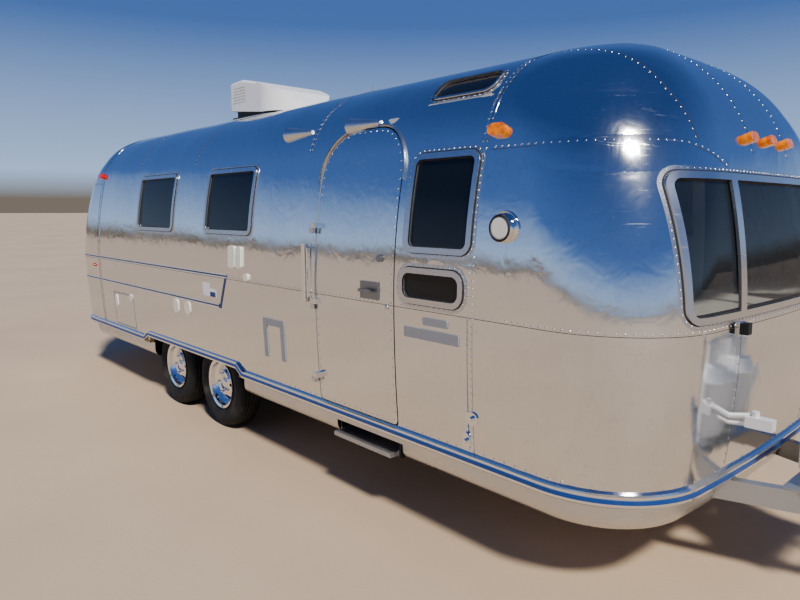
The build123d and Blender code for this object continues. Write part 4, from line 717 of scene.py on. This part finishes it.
def strip_field(name, chains, profile, material, body="trailer"):
    """One mesh of strips that follow chains; the profile is rows of (across, up) in metres."""
    verts, faces = [], []
    width = len(profile)
    for chain in chains:
        points = np.array([p for p, _ in chain])
        loop = np.linalg.norm(points[0] - points[-1]) < 1e-6
        start = len(verts)
        last = len(chain) - 1
        for k, (point, normal) in enumerate(chain):
            before = points[k - 1] if k else (points[last - 1] if loop else points[0])
            after = points[k + 1] if k < last else (points[1] if loop else points[last])
            along = after - before
            along = along / max(1e-12, float(np.linalg.norm(along)))
            across = np.cross(normal, along)
            across = across / max(1e-12, float(np.linalg.norm(across)))
            verts += [point + across * a + normal * up for a, up in profile]
        for k in range(last):
            low, high = start + k * width, start + (k + 1) * width
            faces += [(low + j, high + j, high + j + 1, low + j + 1) for j in range(width - 1)]
    return new_object(name, verts, faces, material, body)


LAP = ((-LAP_HALF, -0.0006), (-0.0165, 0.0009), (0.0165, 0.0009), (LAP_HALF, -0.0006))
# Profile of the painted seam shadows: a dark strip 2.8 mm wide, laid just proud of the skin.
SHADOW_LINE_PROFILE = ((-0.0014, 0.0002), (0.0014, 0.0002))
GASKET = ((-0.004, -0.001), (-0.003, 0.0022), (0.003, 0.0022), (0.004, -0.001))


def window_rings(by):
    """(side, index, outline) of each side window at an offset from its outer edge."""
    rings = []
    for side in (-1, 1):
        for index, row in enumerate(WINDOWS):
            if side in row[5]:
                rings.append((side, index, rounded_outline(*grow(row, by))))
    return rings


FRONT_WINDOW = 3
LOWER_WINDOW = 4
WINDOW_MARGIN = 0.004
DOOR_MARGIN = 0.026
VISTA_MARGIN = 0.006
FLANGE_RIVET = -0.011
VISTA_RIVET = -0.008
front_window = rounded_outline(*grow(WINDOWS[FRONT_WINDOW], WINDOW_MARGIN))
covered = {side: [ring for s, _, ring in window_rings(WINDOW_MARGIN) if s == side] for side in (-1, 1)}
covered[-1] = covered[-1] + [door_ring(-DOOR_MARGIN)]
vista_covers = {side: vista_outline(side, VISTA_MARGIN) for side in (-1, 1)}


def open_skin(spots, side):
    """The spots of a side wall that lie clear of its windows and, on the curb side, of the door."""
    kept = []
    for point, normal in zip(*spots):
        station = point[0] - FRONT_SEAM_X
        v = side_v(side, point[2])
        if point[2] > ROOF_Z - 0.002:
            v = 0.0
        if inside((station, v), vista_covers[side]):
            continue
        if not any(inside((station, point[2]), ring) for ring in covered[side]):
            kept.append((point, normal))
    return kept


# Rivet rows of the barrel, and painted shadow lines along its seams.
rivets, seam_shadow_lines = [], []
for side in (-1, 1):
    for lap in (FRONT_LAP, REAR_LAP):
        for shift in (-LAP_ROW, LAP_ROW):
            chain = barrel_chain([(lap + shift, side * SIDE_LENGTH), (lap + shift, 0.0)])
            rivets += open_skin(spaced(chain, RIVET_PITCH), side)
    joint_low = side_v(side, JOINT_LOW_Z)
    for station in JOINT_STATIONS:
        for shift in (-JOINT_ROW, JOINT_ROW):
            chain = barrel_chain([(station + shift, joint_low), (station + shift, 0.0)])
            rivets += open_skin(spaced(chain, RIVET_PITCH), side)
        seam_shadow_lines.append(barrel_chain([(station, joint_low), (station, 0.0)]))
    belt_v = side_v(side, BELT_Z + BELT_RISE)
    belt = barrel_chain([(-BARREL_LENGTH, belt_v), (0.0, belt_v)])
    rivets += open_skin(spaced(belt, RIVET_PITCH), side)
    base_v = side_v(side, BASE_ROW_Z)
    base_row = barrel_chain([(-BARREL_LENGTH, base_v), (0.0, base_v)])
    for point, normal in open_skin(spaced(base_row, BASE_PITCH), side):
        station = point[0] - FRONT_SEAM_X
        if not WHEEL_OPENING[0] - OPENING_MARGIN < station < WHEEL_OPENING[1] + OPENING_MARGIN:
            rivets.append((point, normal))
    runs = ((-BARREL_LENGTH, DOOR[0]), (DOOR[1], 0.0)) if side < 0 else ((-BARREL_LENGTH, 0.0),)
    for start, end in runs:
        seam_shadow_lines.append(barrel_chain([(start, side_v(side, BELT_Z)), (end, side_v(side, BELT_Z))]))
    front_edge, rear_edge = FRONT_LAP + LAP_HALF, REAR_LAP - LAP_HALF
    wall_low = side_v(side, WALL_BASE_Z + WALL_SEAM_RISE)
    wall_top = side_v(side, WALL_SEAM_TOP_Z)
    seam_shadow_lines.append(barrel_chain([(front_edge, wall_low), (front_edge, wall_top)]))
    seam_shadow_lines.append(barrel_chain([(front_edge, side_v(side, SEAM_LOW_Z)), (front_edge, 0.0)]))
    seam_shadow_lines.append(barrel_chain([(rear_edge, wall_low), (rear_edge, 0.0)]))

# Rivets of the petal seams and level seams of the end caps, with painted shadow lines along the seams.
PETALS = ((-0.705, 2.03), (-0.225, 2.00), (0.225, 2.00), (0.705, 2.03))
CROWN_STOP = 0.035
PETAL_STEPS = 30
SEAM_SHIFT = 0.012
CAP_BELT_RUN = 1.40
CAP_BELT_STEPS = 60
DIP_FROM, DIP_RUN, DIP_DEPTH = 0.95, 0.45, 0.10
PANEL_SEAM_Y = 0.50
PANEL_SEAM_LOW_Z = 0.60
PANEL_SEAM_STEPS = 30


def petal_rows(y, low):
    top = ROOF_Z - CROWN_STOP
    heights = [low + (top - low) * sin(pi / 2 * k / PETAL_STEPS) for k in range(PETAL_STEPS + 1)]
    return [(share_for_y(y, z) * CAP_SPAN, length_at(z)) for z in heights]


def level_rows(height):
    """Rows right round an end cap at one height."""
    length = length_at(height)
    return [(CAP_SPAN * k / CAP_STEPS, length) for k in range(CAP_STEPS + 1)]


def belt_height(u):
    """Height of a cap's upper belt, which dips towards the window."""
    past = (min(u, CAP_SPAN - u) - DIP_FROM) / DIP_RUN
    return CAP_BELT_Z - DIP_DEPTH * min(1.0, max(0.0, past)) ** 2


for rear in (False, True):
    for y, low in PETALS:
        rows = petal_rows(y, low)
        rivets += list(zip(*spaced(cap_chain(rows, rear), RIVET_PITCH)))
        seam_shadow_lines.append(cap_chain([(u + SEAM_SHIFT, v) for u, v in rows], rear))
    for side in (-1, 1):
        start, end = (0.0, CAP_BELT_RUN) if side < 0 else (CAP_SPAN - CAP_BELT_RUN, CAP_SPAN)
        steps = [start + (end - start) * k / CAP_BELT_STEPS for k in range(CAP_BELT_STEPS + 1)]
        above = [(u, length_at(belt_height(u) + BELT_RISE)) for u in steps]
        rivets += list(zip(*spaced(cap_chain(above, rear), RIVET_PITCH)))
        seam_shadow_lines.append(cap_chain([(u, length_at(belt_height(u))) for u in steps], rear))
    for height, pitch in ((BELT_Z + BELT_RISE, RIVET_PITCH), (BASE_ROW_Z, BASE_PITCH)):
        rivets += list(zip(*spaced(cap_chain(level_rows(height), rear), pitch)))
    seam_shadow_lines.append(cap_chain(level_rows(BELT_Z), rear))
    for y in (-PANEL_SEAM_Y, PANEL_SEAM_Y):
        rise = BELT_Z - PANEL_SEAM_LOW_Z
        heights = [PANEL_SEAM_LOW_Z + rise * k / PANEL_SEAM_STEPS for k in range(PANEL_SEAM_STEPS + 1)]
        rows = [(share_for_y(y, z) * CAP_SPAN, length_at(z)) for z in heights]
        rivets += list(zip(*spaced(cap_chain(rows, rear), RIVET_PITCH)))
        seam_shadow_lines.append(cap_chain([(u + SEAM_SHIFT, v) for u, v in rows], rear))

# Rivets on the window flanges, the nose frame and the tail frame.
flange_rivets = []
for side, index, ring in window_rings(FLANGE_RIVET):
    chain = barrel_chain(closed(on_side(side, ring)), FLANGE_PROUD)
    for point, normal in zip(*spaced(chain, FLANGE_PITCH)):
        spot = (point[0] - FRONT_SEAM_X, point[2])
        if index == LOWER_WINDOW and inside(spot, front_window):
            continue
        flange_rivets.append((point, normal))
for side in (-1, 1):
    chain = barrel_chain(closed(vista_outline(side, VISTA_RIVET)), FLANGE_PROUD)
    flange_rivets += list(zip(*spaced(chain, FLANGE_PITCH)))
for rear, row in ((False, NOSE), (True, TAIL)):
    chain = cap_chain(closed(end_outline(row, FLANGE_RIVET)), rear, FLANGE_PROUD)
    flange_rivets += list(zip(*spaced(chain, FLANGE_PITCH)))
dome_field("rivets_skin", rivets, rivet_metal)
dome_field("rivets_flanges", flange_rivets, rivet_metal)
# The dark strips along the seams are painted shadow under the lapped panel edges.
strip_field("painted_seam_shadows", seam_shadow_lines, SHADOW_LINE_PROFILE, seam_shade)

# Lap strips over the two seams between the barrel and the caps.
LAP_WALL = (0.60, 1.235)
LAP_SHOULDER = (SEAM_LOW_Z, 2.31)
LAP_CROWN_REACH = 0.80
REAR_LAP_SHARE = 0.995
lap_chains = []
for side in (-1, 1):
    lap_chains.append(barrel_chain([(REAR_LAP, side * SIDE_LENGTH * REAR_LAP_SHARE), (REAR_LAP, 0.0)]))
    for low, high in (LAP_WALL, LAP_SHOULDER):
        lap_chains.append(barrel_chain([(FRONT_LAP, side_v(side, low)), (FRONT_LAP, side_v(side, high))]))
    lap_chains.append(barrel_chain([(FRONT_LAP, side * LAP_CROWN_REACH), (FRONT_LAP, 0.0)]))
strip_field("lap_strips", lap_chains, LAP, body_metal)

# Gaskets: a dark bead outside each sash and another between sash and glass.
SASH_BEAD = 0.001
GLASS_BEAD = 0.002
GLASS_BEAD_LIFT = -0.0035
VISTA_BEAD = -0.015
END_BEAD = -0.021
sash_beads = (-(FRAME_BAND - SASH_BAND) + SASH_BEAD, FLANGE_PROUD)
glass_beads = (-FRAME_BAND - GLASS_BEAD, GLASS_BEAD_LIFT)
gaskets = []
for offset, lift in (sash_beads, glass_beads):
    for side, _, ring in window_rings(offset):
        gaskets.append(barrel_chain(closed(on_side(side, ring)), lift))
for side in (-1, 1):
    gaskets.append(barrel_chain(closed(vista_outline(side, VISTA_BEAD)), FLANGE_PROUD))
    gaskets.append(barrel_chain(closed(vista_outline(side, -VISTA_BAND - GLASS_BEAD)), GLASS_BEAD_LIFT))
for rear, row in ((False, NOSE), (True, TAIL)):
    gaskets.append(cap_chain(closed(end_outline(row, END_BEAD)), rear, FLANGE_PROUD))
    gaskets.append(cap_chain(closed(end_outline(row, -FRAME_BAND - GLASS_BEAD)), rear, GLASS_BEAD_LIFT))
strip_field("window_gaskets", gaskets, GASKET, seal_rubber)

# The door's own rivets and the painted shadow line under its belt seam, which swing with it.
DOOR_ROW_INSET = 0.024
DOOR_PITCH = 0.050
DOOR_BELT_INSET = 0.014
DOOR_LINE_INSET = 0.010
edge_row = barrel_chain(closed(on_side(-1, door_ring(DOOR_ROW_INSET))))
door_spots = list(zip(*spaced(edge_row, DOOR_PITCH)))
belt_v = side_v(-1, BELT_Z + BELT_RISE)
belt = barrel_chain([(DOOR[0] + DOOR_BELT_INSET, belt_v), (DOOR[1] - DOOR_BELT_INSET, belt_v)])
door_spots += list(zip(*spaced(belt, RIVET_PITCH)))
dome_field("rivets_door", door_spots, rivet_metal, body="door")
line_v = side_v(-1, BELT_Z)
belt_line = barrel_chain([(DOOR[0] + DOOR_LINE_INSET, line_v), (DOOR[1] - DOOR_LINE_INSET, line_v)])
strip_field("door_belt_shadow", [belt_line], SHADOW_LINE_PROFILE, seam_shade, "door")

# Pale edges of the trim stripes, and the stripes' blue face round the rear cap.
STRIPE_FRONT = -2.440
STRIPE_SLANT = 0.150
STRIPE_HEIGHT = 0.030
STRIPE_LEVELS = (1.010, 1.246)
STRIPE_END_GAP = 0.004
EDGE_HALF = 0.0045
EDGE_PROUD = 0.0040
EDGE = ((-EDGE_HALF, 0.0), (-0.0042, 0.0004), (0.0042, 0.0004), (EDGE_HALF, 0.0))
BAND_PROUD = 0.0036
BAND = ((-0.0110, 0.0), (-0.0108, 0.0003), (0.0108, 0.0003), (0.0110, 0.0))
edges, bands = [], []
for low, slant in zip(STRIPE_LEVELS, (STRIPE_SLANT, 0.0)):
    front = STRIPE_FRONT - slant - STRIPE_END_GAP
    for height in (low + EDGE_HALF, low + STRIPE_HEIGHT - EDGE_HALF):
        for side in (-1, 1):
            row = side_v(side, height)
            edges.append(barrel_chain([(-BARREL_LENGTH, row), (front, row)], EDGE_PROUD))
        edges.append(cap_chain(level_rows(height), True, EDGE_PROUD))
    bands.append(cap_chain(level_rows(low + STRIPE_HEIGHT / 2), True, BAND_PROUD))
strip_field("stripe_edges", edges, EDGE, stripe_pale)
strip_field("stripe_bands", bands, BAND, stripe_blue)

# Blank stickers beside the stripes: two white ones and a blue corner.
STICKERS = (
    ("sticker_large", (-2.860, -2.735, 1.085, 1.190), sticker_white),
    ("sticker_small", (-2.740, -2.620, 1.085, 1.150), sticker_white),
    ("sticker_blue", (-2.735, -2.645, 1.085, 1.122), sticker_blue),
)
STICKER_LIFT = 0.0012
STICKER_LAYER = 0.0002
STICKER_STEP = 0.02
STICKER_GRID = 5
for k, (name, (low_x, high_x, low_z, high_z), material) in enumerate(STICKERS):
    corners = [(low_x, low_z), (high_x, low_z), (high_x, high_z), (low_x, high_z)]
    border = on_side(-1, split_long(corners, STICKER_STEP))
    lift = STICKER_LIFT + STICKER_LAYER * k
    across = np.linspace(low_x, high_x, STICKER_GRID)
    upward = np.linspace(side_v(-1, low_z), side_v(-1, high_z), STICKER_GRID)
    sheet(
        name, across, upward,
        lambda u, v, lift=lift: barrel_point(u, v, lift), [], material, "trailer", border,
    )


# Pieces turned about an axis, and boxes with rounded edges.
def turned(name, origin, axis, profile, material, body="trailer", segments=48):
    """Surface swept round an axis from rows of (radius, distance along the axis)."""
    axis = np.array(axis, dtype=float)
    first = np.array((0.0, 0.0, 1.0))
    second = np.cross(axis, first)
    verts, faces = [], []
    for k in range(segments):
        angle = 2 * pi * k / segments
        spoke = first * cos(angle) + second * sin(angle)
        verts += [np.array(origin) + spoke * r + axis * t for r, t in profile]
    width = len(profile)
    for k in range(segments):
        low, high = k * width, (k + 1) % segments * width
        faces += [(low + j, low + j + 1, high + j + 1, high + j) for j in range(width - 1)]
    return new_object(name, verts, faces, material, body)


def block(name, centre, out, up, size, material, rounding=0.003):
    """Box with rounded edges; its size is (across, proud, tall) and its back sits on the centre."""
    across = np.cross(out, up)
    corners = []
    for a in (-0.5, 0.5):
        for b in (0.0, 1.0):
            for c in (-0.5, 0.5):
                offset = across * a * size[0] + out * b * size[1] + up * c * size[2]
                corners.append(np.array(centre) + offset)
    faces = [(0, 1, 3, 2), (4, 6, 7, 5), (0, 4, 5, 1), (2, 3, 7, 6), (0, 2, 6, 4), (1, 5, 7, 3)]
    obj = new_object(name, corners, faces, material, smooth=False)
    rounded = obj.modifiers.new("rounding", "BEVEL")
    rounded.width = rounding
    rounded.segments = 3
    return obj


# Wheels: nuts and a cap on each rim, and a tyre with tread and sidewall rings.
WHEEL_RADIUS = 0.352
WHEEL_CENTRE_Y = BODY_WIDTH / 2 - 0.199
AXLES = (("front", -2.834), ("rear", -3.688))
HUB_FACE = 0.062
NUT_CIRCLE = 0.078
NUT_COUNT = 5
NUT_RADIUS = 0.0115
NUT_HEIGHT = 0.019
NUT_SIDES = 6
HUB_CAP_SIDES = 32
HUB_CAP = (
    (0.0455, 0.0395), (0.0450, 0.0520), (0.0420, 0.0580), (0.0330, 0.0640), (0.0180, 0.0672),
    (0.0002, 0.0680),
)
TREAD_SEGMENTS = 168
GROOVE_DEPTH = 0.007
LUG_DEPTH = 0.005
LUG_EVERY = 4
SIDEWALL = (
    (0.1915, 0.0795), (0.200, 0.0800), (0.214, 0.0838), (0.222, 0.0880), (0.224, 0.0900), (0.228, 0.0906),
    (0.231, 0.0900), (0.236, 0.0950), (0.255, 0.1040), (0.278, 0.1065), (0.286, 0.1066), (0.288, 0.1074),
    (0.293, 0.1074), (0.295, 0.1058), (0.312, 0.1030), (0.326, 0.0960), (0.337, 0.0880),
)
SHOULDER = ((0.3435, 0.0810), (0.3478, 0.0730), (0.3500, 0.0640), (0.3500, 0.0560))
GROOVES = (0.046, 0.016)
GROOVE_HALF = 0.0035


def tyre_rows():
    """Half section of the tyre from its bead to the middle, as (radius, half width, lug)."""
    rows = [(r, w, False) for r, w in SIDEWALL] + [(r, w, True) for r, w in SHOULDER]
    for middle in GROOVES:
        low, high = middle - GROOVE_HALF, middle + GROOVE_HALF
        rows.append((WHEEL_RADIUS - 0.0006, high + 0.0004, False))
        rows.append((WHEEL_RADIUS - GROOVE_DEPTH, high - 0.0010, False))
        rows.append((WHEEL_RADIUS - GROOVE_DEPTH, low + 0.0010, False))
        rows.append((WHEEL_RADIUS - 0.0004, low - 0.0004, False))
    return rows + [(WHEEL_RADIUS, 0.0, False)]


def tyre_mesh(name, centre, out, body):
    half = tyre_rows()
    rows = [(r, w, lug) for r, w, lug in half] + [(r, -w, lug) for r, w, lug in half[-2::-1]]
    verts, faces = [], []
    for k in range(TREAD_SEGMENTS):
        angle = 2 * pi * k / TREAD_SEGMENTS
        spoke = np.array((cos(angle), 0.0, sin(angle)))
        cut = LUG_DEPTH if k % LUG_EVERY == 0 else 0.0
        verts += [np.array(centre) + spoke * (r - (cut if lug else 0.0)) + out * w for r, w, lug in rows]
    width = len(rows)
    for k in range(TREAD_SEGMENTS):
        low, high = k * width, (k + 1) % TREAD_SEGMENTS * width
        faces += [(low + j, low + j + 1, high + j + 1, high + j) for j in range(width - 1)]
        faces.append((low + width - 1, low, high, high + width - 1))
    if out[1] < 0:
        faces = [face[::-1] for face in faces]
    return new_object(name, verts, faces, rubber, body)


for side, side_name in ((-1, "curb"), (1, "street")):
    out = np.array((0.0, float(side), 0.0))
    for axle_name, station in AXLES:
        body = f"wheel_{axle_name}_{side_name}"
        centre = np.array((FRONT_SEAM_X + station, side * WHEEL_CENTRE_Y, WHEEL_RADIUS))
        tyre = tyre_mesh(f"tread_{axle_name}_{side_name}", centre, out, body)
        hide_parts(f"tyre_{axle_name}_{side_name}")
        nuts = []
        for k in range(NUT_COUNT):
            angle = 2 * pi * (k + 0.5) / NUT_COUNT
            spot = centre + out * HUB_FACE + np.array((cos(angle), 0.0, sin(angle))) * NUT_CIRCLE
            nuts.append((spot, out))
        place_name = f"{axle_name}_{side_name}"
        dome_field(
            f"nuts_{place_name}", nuts, bright_metal, NUT_RADIUS, NUT_HEIGHT, body, NUT_SIDES
        )
        turned(f"cap_{place_name}", centre, out, HUB_CAP, bright_metal, body, HUB_CAP_SIDES)

# Grab handle: the web of the bar, between its feet.
HANDLE_STATION = -1.365
HANDLE_HEIGHTS = (1.205, 1.530)
HANDLE_OUT = 0.045
HANDLE_WIDE = 0.027
HANDLE_SET_IN = 0.008
handle_z = (HANDLE_HEIGHTS[0] + HANDLE_HEIGHTS[1]) / 2
handle_tall = HANDLE_HEIGHTS[1] - HANDLE_HEIGHTS[0]
handle_back = np.array((FRONT_SEAM_X + HANDLE_STATION, -BODY_WIDTH / 2 + 0.004, handle_z))
block(
    "handle_web", handle_back, np.array((0.0, -1.0, 0.0)), np.array((0.0, 0.0, 1.0)),
    (HANDLE_WIDE, HANDLE_OUT - HANDLE_SET_IN, handle_tall), bright_metal, rounding=0.010,
)

# Porch lamp bezel, side and ring, door lock, and plates and stops under the nose posts.
PORCH = (0.132, 1.666)
porch_centre = (FRONT_SEAM_X + PORCH[0], -reach_at(SIDE, PORCH[1]), PORCH[1])
BEZEL = ((0.0500, 0.0405), (0.0515, 0.0430), (0.0550, 0.0425), (0.0600, 0.0385))
LAMP_SIDE = (
    (0.0600, 0.0385), (0.0640, 0.0310), (0.0660, 0.0200), (0.0675, 0.0080), (0.0720, 0.0050),
    (0.0735, -0.0040),
)
turned("porch_bezel", porch_centre, (0.0, -1.0, 0.0), BEZEL, black_plastic)
turned("porch_side", porch_centre, (0.0, -1.0, 0.0), LAMP_SIDE, bright_metal)
RIM_RING = ((0.0725, -0.0040), (0.0730, 0.0052), (0.0755, 0.0060), (0.0775, 0.0040), (0.0780, -0.0050))
turned("porch_ring", porch_centre, (0.0, -1.0, 0.0), RIM_RING, bright_metal)
DOOR_LOCK = (-0.640, 1.230)
lock_point, lock_normal = barrel_point(DOOR_LOCK[0], side_v(-1, DOOR_LOCK[1]))
LOCK = ((0.0150, -0.002), (0.0150, 0.004), (0.0125, 0.0065), (0.0080, 0.0070), (0.0002, 0.0072))
turned("door_lock", lock_point, lock_normal, LOCK, dull_metal, "door", 24)
POST_STOP_Z = 1.236
POST_STOP_Y = 0.505
PLATE_SIZE = (0.066, 0.012, 0.056)
PLATE_FACE = 0.010
STOP_SIZE = (0.038, 0.034, 0.052)
for index, y in enumerate((-POST_STOP_Y, POST_STOP_Y)):
    point, normal = cap_point(share_for_y(y, POST_STOP_Z), length_at(POST_STOP_Z), False, 0.0)
    across = np.cross(normal, (0.0, 0.0, 1.0))
    across = across / np.linalg.norm(across)
    up = np.cross(across, normal)
    block(f"post_plate_{index}", point, normal, up, PLATE_SIZE, dull_metal)
    block(f"post_stop_{index}", point + normal * PLATE_FACE, normal, up, STOP_SIZE, black_plastic)

FLOOR_REACH = 600.0
FLOOR_LIGHT = (0.70, 0.54, 0.37)
FLOOR_DARK = (0.58, 0.44, 0.30)
SUN_FROM = (0.607, -0.264, 0.749)
SUN_STRENGTH = 3.2
SUN_ANGLE = 7.0
SKY_LOW = (0.46, 0.60, 0.80)
SKY_MIDDLE = (0.085, 0.17, 0.42)
SKY_HIGH = (0.035, 0.075, 0.22)
RISE_COLOUR = (0.19, 0.165, 0.14)
RISE_HEIGHT = 0.055
SKY_STRENGTH = 1.0
floor_mesh = bpy.data.meshes.new("floor")
floor_mesh.from_pydata(
    [(x * FLOOR_REACH, y * FLOOR_REACH, 0) for x, y in ((-1, -1), (1, -1), (1, 1), (-1, 1))],
    [], [(0, 1, 2, 3)],
)
floor = bpy.data.objects.new("floor", floor_mesh)
bpy.context.scene.collection.objects.link(floor)
floor_finish, floor_tree, floor_shader = principled("pale_floor", FLOOR_LIGHT, 0.85)
floor_place = position(floor_tree)
cloud = noise(floor_tree, floor_place, 0.35, 6.0, 0.6)
grit = noise(floor_tree, floor_place, 45.0, 4.0, 0.7)
cloudy = ramp(floor_tree, cloud, 0.35, 0.70, 0.0, 0.7)
gritty = ramp(floor_tree, grit, 0.45, 0.75, 0.0, 0.35)
floor_colour = mix_colour(floor_tree, cloudy, FLOOR_LIGHT, FLOOR_DARK)
floor_colour = mix_colour(floor_tree, gritty, floor_colour, FLOOR_DARK)
floor_tree.links.new(floor_colour, floor_shader.inputs["Base Color"])
floor.data.materials.append(floor_finish)

sun_data = bpy.data.lights.new("soft_sun", "SUN")
sun_data.energy = SUN_STRENGTH
sun_data.angle = radians(SUN_ANGLE)
sun_data.color = (1.0, 0.96, 0.90)
sun = bpy.data.objects.new("soft_sun", sun_data)
sun.rotation_mode = "QUATERNION"
sun.rotation_quaternion = Vector(SUN_FROM).to_track_quat("Z", "Y")
bpy.context.scene.collection.objects.link(sun)

world = bpy.data.worlds.new("studio")
bpy.context.scene.world = world
world.use_nodes = True
sky_tree = world.node_tree
back = sky_tree.nodes["Background"]
coords = sky_tree.nodes.new("ShaderNodeTexCoord")
split = sky_tree.nodes.new("ShaderNodeSeparateXYZ")
sky_tree.links.new(coords.outputs["Generated"], split.inputs["Vector"])
low_share = ramp(sky_tree, split.outputs["Z"], 0.0, 0.26, 0.0, 1.0)
high_share = ramp(sky_tree, split.outputs["Z"], 0.20, 0.80, 0.0, 1.0)
sky = mix_colour(sky_tree, high_share, mix_colour(sky_tree, low_share, SKY_LOW, SKY_MIDDLE), SKY_HIGH)
low_rise = ramp(sky_tree, split.outputs["Z"], 0.3 * RISE_HEIGHT, RISE_HEIGHT, 0.0, 1.0)
sky = mix_colour(sky_tree, low_rise, RISE_COLOUR, sky)
sky_tree.links.new(sky, back.inputs["Color"])
back.inputs["Strength"].default_value = SKY_STRENGTH

camera_data = bpy.data.cameras.new("Camera")
camera = bpy.data.objects.new("Camera", camera_data)
bpy.context.scene.collection.objects.link(camera)
CAMERA_PLACE = (4.156, -3.474, 1.741)
CAMERA_LENS = 29.27
CAMERA_SENSOR = 36.0
CAMERA_YAW, CAMERA_PITCH = radians(42.03), radians(7.795)
camera_data.sensor_width = CAMERA_SENSOR
camera_data.lens = CAMERA_LENS
look = Vector(
    (-cos(CAMERA_YAW) * cos(CAMERA_PITCH), sin(CAMERA_YAW) * cos(CAMERA_PITCH), -sin(CAMERA_PITCH))
)
camera.location = CAMERA_PLACE
camera.rotation_mode = "QUATERNION"
camera.rotation_quaternion = look.to_track_quat("-Z", "Y")
bpy.context.scene.camera = camera
bpy.context.scene.view_settings.view_transform = "AgX"
bpy.context.scene.view_settings.look = "AgX - Medium High Contrast"
